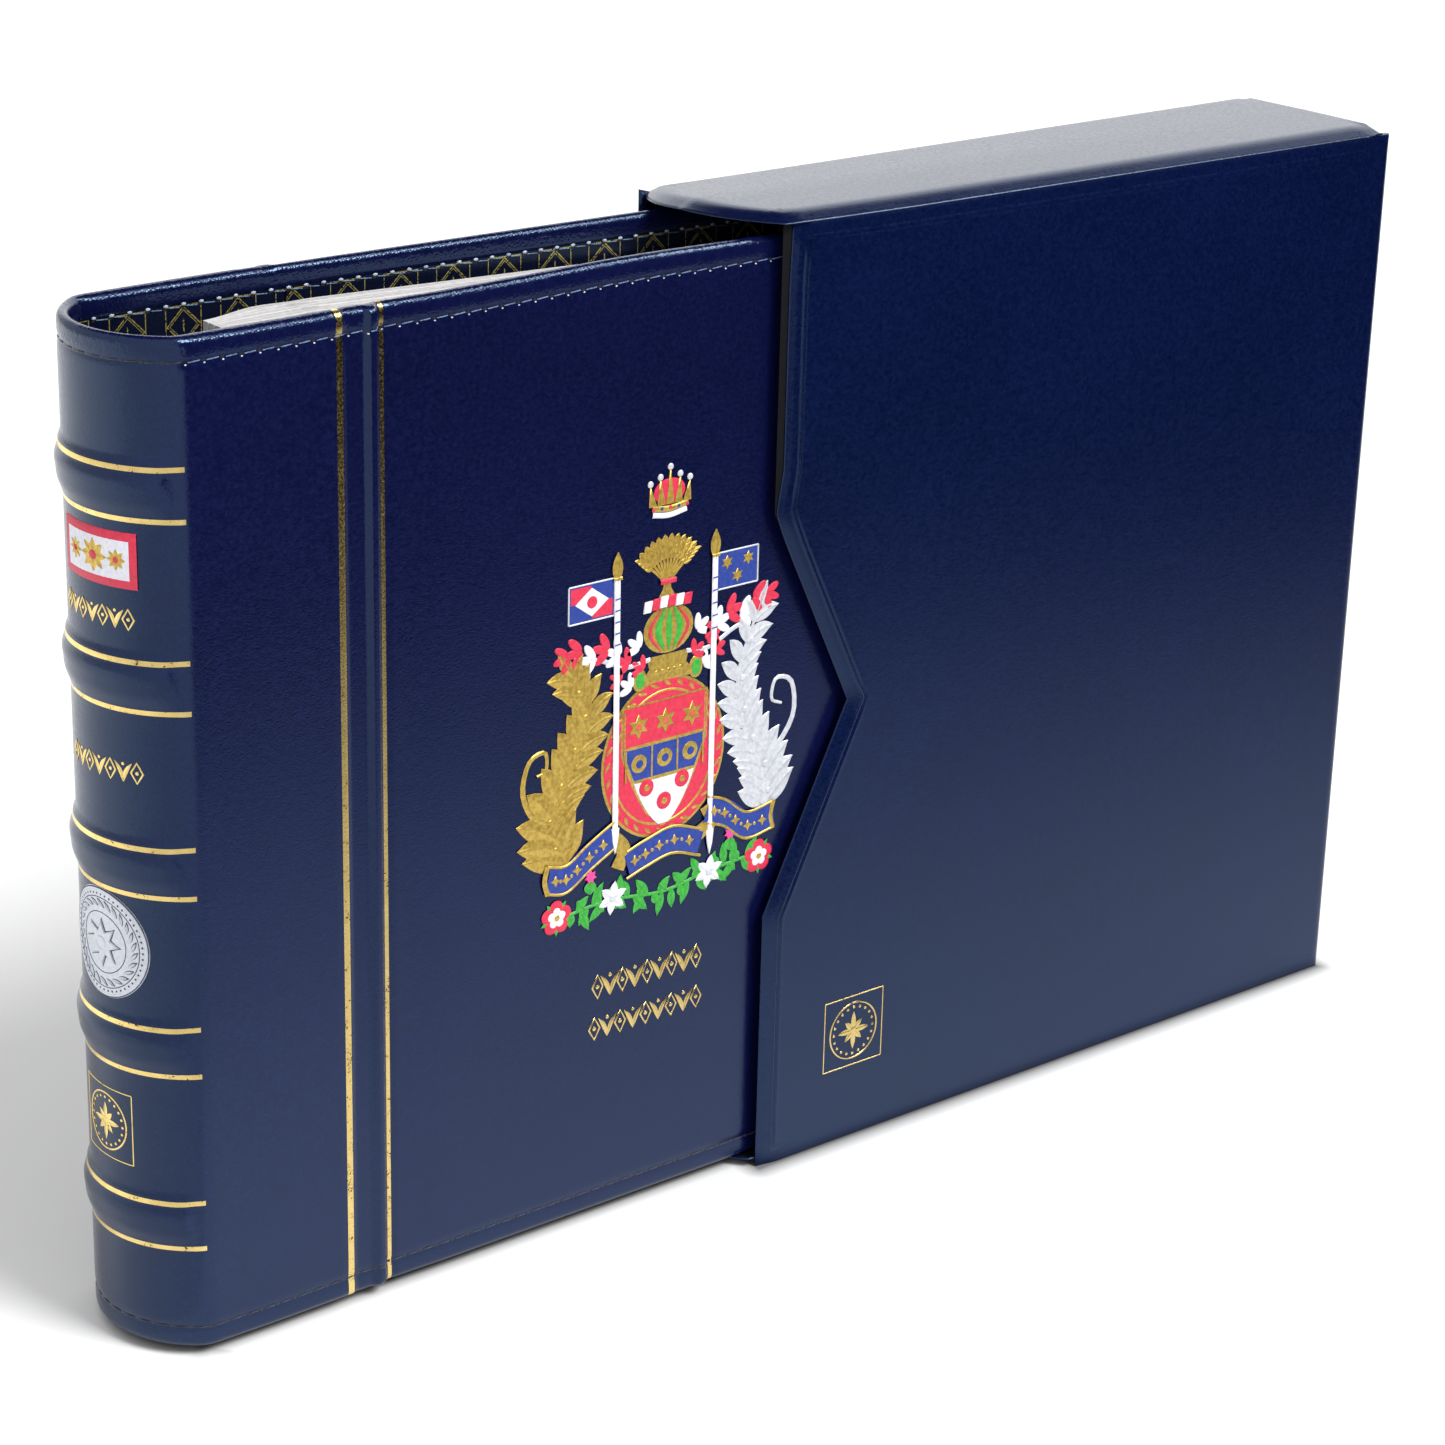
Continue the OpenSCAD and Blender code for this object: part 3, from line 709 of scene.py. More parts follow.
def build_cover():
    """The leather skin with its turned edges, bands, hinge rolls and gold lines."""
    columns, rows = COLUMNS, cover_rows()
    bm = bmesh.new()
    grid = [[bm.verts.new(cover_point(c, f, z)) for f, z in rows] for c in columns]
    half_line = GOLD_LINE_H / 2 + 0.01

    def between(one, two, span):
        return all(span[0] - 0.01 <= c.w <= span[1] + 0.01 for c in (one, two))

    def pick(i, j):
        a, b = columns[i], columns[i + 1]
        (f0, z0), (f1, z1) = rows[j], rows[(j + 1) % len(rows)]
        if max(f0, f1) > 0.75:
            return RIM if min(z0, z1) > HEIGHT - TURN_IN else PLAIN
        rim = RIM if max(z0, z1) > HEIGHT - RIM_H else PLAIN
        if a.kind == "leaf" and b.kind == "leaf":
            if rim and a.outer.y > 0:
                return rim
            if between(a, b, LINE_1) or between(a, b, LINE_2):
                return GOLD_WORN
        elif f0 == f1 == 0 and max(a.normal.x, b.normal.x) < -0.3:
            middle = (z0 + z1) / 2
            if any(abs(middle - z) < half_line for z in GOLD_ZS) and abs(z1 - z0) < 1.5:
                return GOLD
        return rim

    grid_faces(bm, grid, True, pick)
    clean(bm)
    cover = new_object("cover_leather", bm, [MAT_LEATHER, MAT_GOLD, MAT_GOLD_WORN, MAT_RIM],
                       "album")
    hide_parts("spine_leather", "hinge_leather", "front_leather", "back_leather",
                "spine_bands", "spine_board", "front_hinge_board", "back_hinge_board",
                "front_cover_board", "back_cover_board", "front_cover_padding",
                "back_cover_padding")


COLUMNS = cover_columns()
# How far along the cover's outside each column lies, from the front fore-edge
LENGTHS = [0.0]
for one, two in zip(COLUMNS, COLUMNS[1:]):
    LENGTHS.append(LENGTHS[-1] + (two.outer - one.outer).length)
MIDDLE = LENGTHS[len(COLUMNS) // 2]
build_cover()


def around(u, z, lift, inner=False):
    """Point on the cover, u millimetres from the spine's crown towards the front cover."""
    reach = max(0.0, min(LENGTHS[-1], MIDDLE - u))
    i = max(0, min(len(COLUMNS) - 2, bisect.bisect_right(LENGTHS, reach) - 1))
    t = clamp01((reach - LENGTHS[i]) / max(1e-6, LENGTHS[i + 1] - LENGTHS[i]))
    a, b = COLUMNS[i], COLUMNS[i + 1]
    normal = a.normal.lerp(b.normal, t).normalized()
    if inner:
        spot = a.inner.lerp(b.inner, t) - normal * lift
    else:
        spot = a.outer.lerp(b.outer, t) + normal * (lerp(a.relief(z), b.relief(z), t) + lift)
    return to_world(spot.x, spot.y, humped(spot.x, spot.y, z))


def on_front(w, z, lift):
    """Point on the front cover's face."""
    return to_world(w, -HALF - leaf_relief(w, z) - lift, humped(w, -HALF, z))


def on_spine(s, z, lift):
    """Point on the spine, s millimetres from its crown towards the front."""
    phi = s / SPINE_R
    r = SPINE_R + spine_relief(phi, z) + lift
    return to_world(SPINE_CX - r * math.cos(phi), -r * math.sin(phi), z)


def on_case(x, z, lift):
    """Point on the slipcase's front face."""
    return Vector((x, CASE_LOW.y - lift, z)) * MM


# ---- stitching ---------------------------------------------------------------------
def stitch_run(bm, place, start, end, skew, glint_size):
    """Stitches from start to end in a surface's own coordinates, with their needle holes."""
    start, end = Vector(start), Vector(end)
    count = max(1, round((end - start).length / STITCH_PITCH))
    along = (end - start) / count
    across = Vector((-along.y, along.x)).normalized()
    for i in range(count):
        a = start + along * i
        gap = 0.13 + 0.03 * random.random()
        first = a + along * gap - across * skew
        last = a + along * (1 - gap) + across * skew
        tube(bm, [place(*first.lerp(last, t), lift)
                  for t, lift in ((0, -0.25), (0.12, 0.06), (0.5, 0.1), (0.88, 0.06), (1, -0.25))],
             THREAD_R * MM)
        painted_needle_hole(bm, place, a, along.normalized(), across, glint_size)


def tube(bm, points, radius, sides=6):
    """A closed tube along points."""
    rings = []
    for i, point in enumerate(points):
        ahead = points[min(i + 1, len(points) - 1)] - points[max(i - 1, 0)]
        frame_x = ahead.cross(Vector((0.3, 0.2, 1.0))).normalized()
        frame_y = frame_x.cross(ahead).normalized()
        rings.append([bm.verts.new(point + (frame_x * math.cos(a) + frame_y * math.sin(a))
                                   * radius) for a in angles(sides)])
    for r0, r1 in zip(rings, rings[1:]):
        loop_faces(bm, r0, r1)
    bm.faces.new(rings[0])
    bm.faces.new(list(reversed(rings[-1])))


def painted_needle_hole(bm, place, centre, along, across, glint_size):
    """A needle hole drawn as a dark disc of painted shade and, where the last argument gives its
    size, a pale raised patch with a painted glint beside it.
    """
    def disc(middle, half_long, half_wide, base, top, material):
        rim = []
        for a in angles(8):
            q = middle + along * (half_long * math.cos(a)) + across * (half_wide * math.sin(a))
            rim.append(bm.verts.new(place(q.x, q.y, base)))
        tip = bm.verts.new(place(middle.x, middle.y, top))
        for k in range(8):
            bm.faces.new((rim[k], rim[(k + 1) % 8], tip)).material_index = material
    # The hole is a slightly raised dark disc, painted shade for the hole's dimple.
    disc(centre, 0.62, 0.42, 0.03, 0.05, 1)
    if glint_size:
        # The pale patch is a painted glint.
        disc(centre - across * 0.62 + along * 0.25, 0.5 * glint_size, 0.3 * glint_size, -0.05, 0.24 * glint_size, 2)


THREAD_R = 0.17
# How large the pale patch with the painted glint beside a needle hole is
GLINT_SIZES = {"stitching_inside": 1.5, "stitching_front_top": 0.8}


def build_stitching():
    """Seams along the cover's edges, outside and round its opening inside."""
    low, high = STITCH_IN, HEIGHT - STITCH_IN
    inside = HEIGHT - INNER_STITCH_IN
    reach = MIDDLE - STITCH_IN
    corner = SPINE_R * LIP

    def inner_place(u, z, lift):
        return around(u, z, lift, inner=True)

    # surface, (start, end) of each seam, thread, and how far a stitch slants
    # Each seam's thread copy carries painted light or painted shade.
    runs = {
        "stitching_front_top": (around, [((corner, high), (reach, high))], MAT_THREAD_PAINTED_LIT, 0.12),
        "stitching_front_side": (around, [((reach, high), (reach, low))], MAT_THREAD_PAINTED_SHADE, 0.1),
        "stitching_low": (around, [((reach, low), (-reach, low))], MAT_THREAD_PAINTED_SHADE, 0.1),
        "stitching_spine_top": (around, [((corner, high), (-corner, high))],
                                MAT_THREAD_PAINTED_SHADE, 0.12),
        "stitching_back": (around, [((-corner, high), (-reach, high)),
                                    ((-reach, high), (-reach, low))], MAT_THREAD_PAINTED_LIT, 0.1),
        "stitching_inside": (inner_place, [((corner + 4, inside), (reach - 4, inside)),
                                           ((-corner - 2, inside), (-reach + 4, inside))],
                             MAT_THREAD_PAINTED_LIT, 0.1),
    }
    for name, (place, paths, material, skew) in runs.items():
        bm = bmesh.new()
        for start, end in paths:
            stitch_run(bm, place, start, end, skew, GLINT_SIZES.get(name, 0.0))
        new_object(name, bm, [material, MAT_PAINTED_HOLE_SHADE, MAT_PAINTED_GLINT], "album")


build_stitching()


# ---- linings -----------------------------------------------------------------------
# Where the hinge strip's lining ends and a cover's begins
HINGE_END = 56.5


def lining_piece(name, columns, replaced):
    """A lining sheet against the inner faces of a run of the cover's columns."""
    bm = bmesh.new()
    low, high = TURN_IN + 0.3, HEIGHT - TURN_IN - 0.3
    rows = [(0.9, low), (1.0, low), (1.0, HEIGHT / 2), (1.0, high), (0.9, high)]
    grid = [[bm.verts.new(to_world(*c.outer.lerp(c.inner, f), z)) for f, z in rows]
            for c in columns]
    grid_faces(bm, grid, True)
    bm.faces.new(grid[0])
    bm.faces.new(list(reversed(grid[-1])))
    clean(bm)
    piece = new_object(name, bm, [MAT_LINING], "album", False)
    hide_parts(replaced)


def build_linings():
    """Printed linings of both covers and of the strip behind the spine."""
    reach = COVER_W - TURN_IN - 0.3
    half = len(COLUMNS) // 2
    front = [c for c in COLUMNS[:half] if HINGE_END <= c.w <= reach]
    back = [c for c in COLUMNS[half:] if HINGE_END <= c.w <= reach]
    lining_piece("front_inner_lining", front, "front_lining")
    lining_piece("back_inner_lining", back, "back_lining")
    lining_piece("spine_lining", [c for c in COLUMNS if c.w < HINGE_END], "hinge_lining")


build_linings()


# ---- pages -------------------------------------------------------------------------
# The pages fan out from the rings up to here, hinge here, and sag beyond that by a share of
# the distance, up to a most, over the part above a height
PAGE_FAN_END = 43.0
PAGE_HINGE = 51.0
PAGE_SAG = 0.037
PAGE_SAG_MOST = 3.9
PAGE_SAG_Z = 251.4
# How much of its thickness the stack keeps, less the pinch at the hinges of the cards
PAGE_KEEP, PAGE_PINCH, PAGE_PINCH_W = 0.92, 0.42, 3.2
PAGE_CUT_ZS = (252.2, 253.8, 255.4, 257.0)


def page_spot(w, y, z, middle):
    """Where a point of a page lies once the boards fan at the rings and sag outwards."""
    y = middle + (y - middle) * (PAGE_KEEP - PAGE_PINCH * gauss(w - PAGE_HINGE, PAGE_PINCH_W))
    y *= lerp(0.6, 1.0, ramp(w, 24.0, PAGE_FAN_END))
    sag = min(PAGE_SAG_MOST, PAGE_SAG * max(0.0, w - PAGE_HINGE))
    return to_world(w, y, z - sag * ramp(z, PAGE_SAG_Z, HEIGHT - 6.5))


def bent_page(name, middle, material):
    """A page's CAD piece, cut finely enough to bend, in its place."""
    bm = cad_mesh(name)
    for w in steps(26, 44, 3) + steps(44, 60, 1.6) + steps(60, 220, 20):
        cut_through(bm, to_world(w, 0, 0), Vector((1, 0, 0)))
    for z in PAGE_CUT_ZS:
        cut_through(bm, to_world(0, 0, z), Vector((0, 0, 1)))
    for v in bm.verts:
        p = v.co / MM
        v.co = page_spot(p.x - ALBUM_X, p.y, p.z - FOOT_Z, middle)
    piece = new_object(name + "_bent", bm, [material], "album", False)
    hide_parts(name)


def build_pages():
    """The five pages' cards and core boards."""
    for k in range(1, 6):
        low, high = box_mm(f"page_{k}_cards")
        middle = (low.y + high.y) / 2
        bent_page(f"page_{k}_cards", middle, MAT_CARD)
        bent_page(f"page_{k}_core", middle, MAT_CORE)


build_pages()


# ---- stamped ornaments -------------------------------------------------------------
# Cross sections: (share of the half width, share of the height); PLATEAU and DOME run inwards.
# All places and sizes of stamped shapes are millimetres on the surface that they lie on.
PLATEAU = ((1.0, 0.0), (0.93, 0.85), (0.8, 1.0), (0.55, 1.0), (0.28, 1.0))
DOME = ((1.0, 0.0), (0.9, 0.5), (0.7, 0.85), (0.4, 1.0))
FLAT_BAND = ((-1.0, 0.0), (-0.72, 1.0), (0.72, 1.0), (1.0, 0.0))
ROUND_BAND = ((-1.0, 0.0), (-0.6, 0.75), (0.0, 1.0), (0.6, 0.75), (1.0, 0.0))
RIB_BAND = ((-1.0, 0.0), (-0.55, 0.55), (-0.08, 0.5), (0.0, 1.0), (0.08, 0.5), (0.55, 0.55),
            (1.0, 0.0))


class Stamp:
    """Raised shapes on a surface, gathered into one mesh with a few foils."""

    def __init__(self, place):
        self.place, self.bm, self.foils = place, bmesh.new(), []

    def foil(self, name):
        if name not in self.foils:
            self.foils.append(name)
        return self.foils.index(name)

    def patch(self, outline, foil, height=0.25, base=0.05, rings=PLATEAU):
        """A shape that can be seen whole from its middle."""
        outline = [Vector(p) for p in outline]
        middle = sum(outline, Vector((0, 0))) / len(outline)
        loops = []
        for share, rise in rings:
            ring = [middle + (p - middle) * share for p in outline]
            loops.append([self.bm.verts.new(self.place(p.x, p.y, base + height * rise))
                          for p in ring])
        tip = self.bm.verts.new(self.place(middle.x, middle.y, base + height * rings[-1][1]))
        index, last = self.foil(foil), loops[-1]
        for a, b in zip(loops, loops[1:]):
            loop_faces(self.bm, a, b, index)
        for a, b in zip(last, last[1:] + last[:1]):
            self.bm.faces.new((a, b, tip)).material_index = index

    def strip(self, path, width, foil, height=0.25, base=0.05, section=FLAT_BAND, closed=False):
        """A band along a path; width is a number or a function of the share along it."""
        path = [Vector(p) for p in path]
        count, index, rows = len(path), self.foil(foil), []
        for i, p in enumerate(path):
            if closed:
                ahead = path[(i + 1) % count] - path[i - 1]
            else:
                ahead = path[min(i + 1, count - 1)] - path[max(i - 1, 0)]
            side = Vector((-ahead.y, ahead.x)).normalized()
            half = (width(i / (count - 1)) if callable(width) else width) / 2
            rows.append([self.bm.verts.new(self.place(*(p + side * half * x),
                                                      base + height * rise))
                         for x, rise in section])
        pairs = list(zip(rows, rows[1:])) + ([(rows[-1], rows[0])] if closed else [])
        for a, b in pairs:
            for j in range(len(section) - 1):
                self.bm.faces.new((a[j], b[j], b[j + 1], a[j + 1])).material_index = index

    def cord(self, path, width, foil, height, base=0.05):
        self.strip(path, width, foil, height, base, ROUND_BAND)

    def leaf(self, x, z, angle, length, width, foil, height=0.3, base=0.05, bend=0.0):
        """A pointed leaf with a midrib; angle in degrees from the level, bend sideways."""
        a = math.radians(angle)
        along, across = Vector((math.cos(a), math.sin(a))), Vector((-math.sin(a), math.cos(a)))
        path = [Vector((x, z)) + along * length * t + across * bend * math.sin(math.pi * t)
                for t in [i / 7 for i in range(8)]]
        self.strip(path, lambda t: max(0.02, width * math.sin(math.pi * min(1, t + 0.03)) ** 0.75),
                   foil, height, base, RIB_BAND)

    def disc(self, x, z, r, foil, height=0.25, base=0.05, sides=14):
        self.patch(ellipse(x, z, r, r, sides), foil, height, base, DOME)

    def outline(self, corners, width, foil, height, base=0.05, cells=1):
        """A straight band along each side of a polygon, in so many cells."""
        for a, b in zip(corners, corners[1:] + corners[:1]):
            path = [Vector(a).lerp(Vector(b), i / cells) for i in range(cells + 1)]
            self.strip(path, width, foil, height, base)

    def finish(self, name, body):
        foils = [CREST[f] if f in CREST else MAT_GOLD for f in self.foils]
        clean(self.bm)
        new_object(name, self.bm, foils, body)


def ellipse(x, z, rx, rz, sides=24):
    return [(x + rx * math.cos(a), z + rz * math.sin(a)) for a in angles(sides)]


def at(x, z, *offsets):
    """Points given as offsets from (x, z)."""
    return [(x + dx, z + dz) for dx, dz in offsets]


def box(x0, z0, x1, z1):
    """Corners of an upright rectangle, anticlockwise."""
    return [(x0, z0), (x1, z0), (x1, z1), (x0, z1)]


def heading(a, b):
    """Direction from a to b in degrees."""
    ahead = b - a
    return math.degrees(math.atan2(ahead.y, ahead.x))


def curve(points, count=20):
    """Smooth path through points, by Catmull-Rom."""
    p = [Vector(q) for q in points]
    p = [p[0] * 2 - p[1]] + p + [p[-1] * 2 - p[-2]]
    out = []
    spans = len(p) - 3
    for i in range(count + 1):
        u = min(spans - 1e-6, spans * i / count)
        k = int(u)
        t = u - k
        a, b, c, d = p[k:k + 4]
        out.append(0.5 * ((2 * b) + (c - a) * t + (2 * a - 5 * b + 4 * c - d) * t * t
                          + (3 * b - a - 3 * c + d) * t ** 3))
    return out


def star(x, z, r, points, inner):
    """Outline of a star with one point up; inner is the share of r at the notches."""
    return [polar(x, z, r * inner if i % 2 else r, math.radians(90.0 + 180 * i / points))
            for i in range(2 * points)]


def beads(stamp, x, z, ring_r, count, r, foil_name, height, base=0.05):
    """A ring of small discs."""
    for a in angles(count):
        stamp.disc(*polar(x, z, ring_r, a), r, foil_name, height, base, sides=6)


def rosette(stamp, x, z, r):
    """A five-petalled flower with green leaves between its petals."""
    turns = [math.radians(90 + 72 * i) for i in range(5)]
    for a in turns:
        stamp.disc(*polar(x, z, 0.58 * r, a), 0.46 * r, "red", 0.2, 0.3)
        stamp.leaf(*polar(x, z, 0.3 * r, a + 0.63), math.degrees(a + 0.63), 0.8 * r, 0.3 * r,
                   "green", 0.15, 0.3)
    for a in turns:
        stamp.disc(*polar(x, z, 0.36 * r, a), 0.26 * r, "white", 0.2, 0.3 + 0.16)
    stamp.disc(x, z, 0.2 * r, "gold", 0.25, 0.3 + 0.2)


def coronet(stamp, x, z):
    """Open coronet: a jewelled band with five pearl-tipped points round a red cap."""
    stamp.patch(ellipse(x, z + 6.4, 5.2, 3.6, 20), "red", 0.3, 0.05, DOME)
    stamp.strip(curve(at(x, z, (-5.6, 0.8), (0, 0), (5.6, 0.8))), 1.6, "white", 0.3)
    stamp.strip(curve(at(x, z, (-5.9, 2.6), (0, 1.8), (5.9, 2.6))), 1.7, "gold", 0.4, 0.15)
    for i in range(-2, 3):
        foot, tall = x + i * 2.8, (9.4, 7.0, 5.6)[abs(i)]
        tip = (foot + i * 0.45, z + 3.0 + tall)
        stamp.patch([(foot - 1.3, z + 3.0), (foot + 1.3, z + 3.0), tip], "gold", 0.4, 0.2)
        stamp.disc(tip[0], tip[1] + 0.7, 0.95, "silver", 0.4, 0.25, sides=10)
        stamp.disc(foot, z + 2.2, 0.55, "blue" if i % 2 else "red", 0.2, 0.5, sides=8)


def sheaf(stamp, x, z):
    """Golden wheat sheaf on a twisted red and white wreath."""
    for i in range(-5, 6):
        angle = 90 - i * 9.5
        a = math.radians(angle)
        tip = polar(x, z + 4.5, 11.4, a)
        root = (x + 0.45 * i, z + 1.0)
        waist = (x + 0.22 * i, z + 5.2)
        stamp.cord(curve([root, waist, tip], 10), 0.8, "gold", 0.3)
        for k in range(4):
            for side in (-28, 28):
                stamp.leaf(*polar(*tip, -k * 1.5, a), angle + side, 2.7, 1.1, "gold", 0.3,
                           0.15)
    for i in range(6):
        cx, drop = x - 6.6 + i * 2.65, -0.25 * abs(i - 2.5)
        stamp.patch(at(cx, z + drop, (-1.5, -1.6), (1.0, -1.6), (1.6, 1.6), (-0.9, 1.6)),
                    "red" if i % 2 else "white", 0.4, 0.3)
    stamp.strip([(x - 2.6, z + 5.4), (x + 2.6, z + 5.4)], 1.5, "red", 0.35, 0.35)


def orb(stamp, x, z):
    """Gold globe with green gores over a gold pedestal."""
    stamp.patch(ellipse(x, z, 8.3, 6.7, 28), "gold", 0.3, 0.05, DOME)
    for k, foil_name in ((-6.4, "red"), (-3.6, "green"), (0.0, "green"), (3.6, "green"),
                         (6.4, "red")):
        path = curve(at(x, z, (k * 0.4, 6.0), (k, 0), (k * 0.4, -6.0)), 10)
        width = 2.0 if foil_name == "green" else 1.0
        stamp.strip(path, lambda t, w=width: max(0.1, w * math.sin(math.pi * t) ** 0.8),
                    foil_name, 0.15, 0.36)
    stamp.patch(at(x, z, (-7.0, -7.0), (7.0, -7.0), (6.2, -10.4), (9.8, -14.4), (-9.8, -14.4),
                   (-6.2, -10.4)), "gold", 0.25)
    for side in (-1, 1):
        stamp.patch(ellipse(x + side * 9.4, z - 12.6, 2.3, 3.2, 16), "gold", 0.3, 0.1)
        stamp.patch(ellipse(x + side * 9.4, z - 12.6, 1.5, 2.3, 16), "green", 0.15, 0.4)
    for i in range(5):
        stamp.disc(x - 4 + 2 * i, z - 11.6, 0.8, "gold", 0.3, 0.28)


def mantling(stamp, x, z):
    """Red and white scrolling foliage to both sides of the globe."""
    sprays = ((8.5, -5.5, 2.8, 0), (9.6, 1.0, 3.0, 1), (13.0, -3.0, 3.3, 0), (16.0, 0.5, 3.3, 1),
              (19.8, 2.6, 3.5, 0), (24.2, 1.0, 3.4, 1), (28.6, 4.2, 3.5, 0), (32.8, 3.6, 3.2, 0),
              (12.0, -9.5, 2.8, 1), (15.5, -6.5, 2.6, 0))
    for side in (-1, 1):
        for dx, dz, size, tint in sprays:
            cx, cz = x + side * dx, z + dz + (0.12 * dx if side > 0 else 0.0)
            foil_name = "white" if tint else "red"
            lean_by = 90 - side * (30 + dx * 2.4)
            for turn_by in (-50, 0, 50):
                a = math.radians(lean_by + turn_by)
                oval = ellipse(0.0, 0.0, size * 0.8, size * 0.36, 14)
                stamp.patch([(cx + (0.8 * size + u) * math.cos(a) - v * math.sin(a),
                              cz + (0.8 * size + u) * math.sin(a) + v * math.cos(a))
                             for u, v in oval], foil_name, 0.3, 0.08 + 0.0006 * abs(turn_by))
        tail = curve(at(x, z, (side * 6, -3), (side * 14, -3.5), (side * 22, 0),
                        (side * 31, 2.5)), 14)
        stamp.cord(tail, 1.3, "silver", 0.3, 0.1)


def banner(stamp, x, z, side, w, h, kind):
    """A small banner beside its pole."""
    x0, x1 = (x - w, x) if side < 0 else (x, x + w)
    mx, mz = (x0 + x1) / 2, z + h / 2
    stamp.patch(box(x0, z, x1, z + h), "blue", 0.15)
    if kind == "quarters":
        stamp.patch(box(x0 + 0.5, mz, mx, z + h - 0.5), "red", 0.15, 0.1)
        stamp.patch(box(mx, z + 0.5, x1 - 0.5, mz), "red", 0.15, 0.1)
        stamp.patch(at(mx, mz, (-5.4, 0), (0, -3.9), (5.4, 0), (0, 3.9)), "white", 0.15, 0.25)
        stamp.disc(mx, mz, 1.7, "red", 0.2, 0.4)
    else:
        for dx, dz in ((-3.6, 2.1), (3.6, 2.1), (0, -2.1)):
            stamp.patch(star(mx + dx, mz + dz, 2.0, 6, 0.5), "gold", 0.2, 0.2)
    stamp.outline(box(x0, z, x1, z + h), 0.45, "silver", 0.2, 0.15)


def pole(stamp, x0, z0, x1, z1):
    """A banner's pole with its cord, its leaf-shaped tip and its pointed foot."""
    stamp.cord([(x0, z0), (x1, z1)], 1.9, "white", 0.35, 0.5)
    for i in range(5):
        t = 0.92 - i * 0.045
        cx, cz = lerp(x0, x1, t), lerp(z0, z1, t)
        stamp.strip([(cx - 0.9, cz), (cx + 0.9, cz + 0.2)], 0.4, "blue", 0.1, 0.85)
    stamp.leaf(x1, z1 - 1.0, 90, 8.2, 3.4, "gold", 0.5, 0.5)
    stamp.strip([(x1 - 1.3, z1), (x1 + 1.3, z1)], 1.0, "gold", 0.3, 0.6)
    stamp.patch(at(x0, z0, (-1.3, 0), (1.3, 0), (0.9, -4), (0, -7.5), (-0.9, -4)), "white", 0.3,
                0.5)


def shield_half(t):
    """Half width of the shield over the share of its height from the point."""
    return 13.8 * min(1.0, (t / 0.62) ** 0.62) if t < 0.62 else 13.8


def shield(stamp, x, z, height):
    """Stars above, discs on a blue band and roundels below, inside a red ring."""
    top, band, foot = z + height * 0.83, z + height * 0.54, z + height * 0.27
    stamp.patch(ellipse(x, band, 20.8, 22.8, 48), "gold", 0.2)
    stamp.patch(ellipse(x, band, 20.0, 22.0, 48), "red", 0.12, 0.2)
    for a in angles(28, 0.5):
        stamp.leaf(x + 18.2 * math.cos(a), band + 20.2 * math.sin(a), math.degrees(a) + 64, 3.0,
                   1.0, "gold", 0.15, 0.3)
    stamp.strip(ellipse(x, band, 16.9, 18.9, 48), 0.7, "gold", 0.2, 0.3, ROUND_BAND, True)

    def zone(t0, t1, grow=0.0):
        ts = [t0 + (t1 - t0) * i / 8 for i in range(9)]
        right = [(x + shield_half(t) + grow, z + height * t) for t in ts]
        return right + [(2 * x - px, pz) for px, pz in reversed(right)]

    stamp.patch(zone(0.0, 1.0, 0.7), "gold", 0.3, 0.3)
    stamp.patch(zone(0.02, 0.40), "white", 0.12, 0.5)
    stamp.patch(zone(0.405, 0.67), "blue", 0.12, 0.5)
    stamp.patch(zone(0.675, 0.985), "red", 0.12, 0.5)
    for i in (-1, 0, 1):
        stamp.patch(star(x + i * 9.0, top, 3.6, 6, 0.5), "gold", 0.25, 0.62)
        stamp.disc(x + i * 9.0, top, 1.1, "orange", 0.2, 0.8)
        stamp.disc(x + i * 8.6, band, 2.6, "gold", 0.25, 0.62)
        stamp.disc(x + i * 8.6, band, 1.2, "blue", 0.15, 0.86)
        lift = 2.4 if i else -2.6
        stamp.disc(x + i * 6.0, foot + lift, 2.5, "red", 0.25, 0.62)
        stamp.disc(x + i * 6.0, foot + lift, 1.0, "gold", 0.2, 0.8, sides=10)
    for dx in (-13.0, -4.3, 4.3, 13.0):
        stamp.strip([(x + dx, band - 4.4), (x + dx, band + 4.4)], 0.5, "gold", 0.15, 0.62)


def branch(stamp, stem, foil_name, size, flip, tendril):
    """A laurel branch: leaf pairs that shorten towards its tip, and a curled tendril."""
    path = curve(stem, 26)
    stamp.cord(path, lambda t: 1.9 - 1.1 * t, foil_name, 0.4, 0.1)
    for i in range(1, 26, 2):
        along, share = heading(path[i - 1], path[i + 1]), 1.0 - 0.35 * i / 26
        for side in (-1, 1):
            length = size * share * (1.15 if side == flip else 0.95)
            stamp.leaf(*path[i], along + side * (52 - 8 * i / 26), length, length * 0.5,
                       foil_name, 0.5, 0.12 + 0.03 * (i % 4), bend=side * -0.8)
        if i % 4 == 3:
            stamp.disc(path[i].x - flip * 1.6, path[i].y + 0.6, 0.95, foil_name, 0.5, 0.3)
    stamp.leaf(*path[-1], heading(path[-3], path[-1]), size * 0.75, size * 0.3, foil_name, 0.45,
               0.15)
    stamp.cord(curve(tendril, 22), lambda t: 2.1 - 1.3 * t, foil_name, 0.4, 0.08)


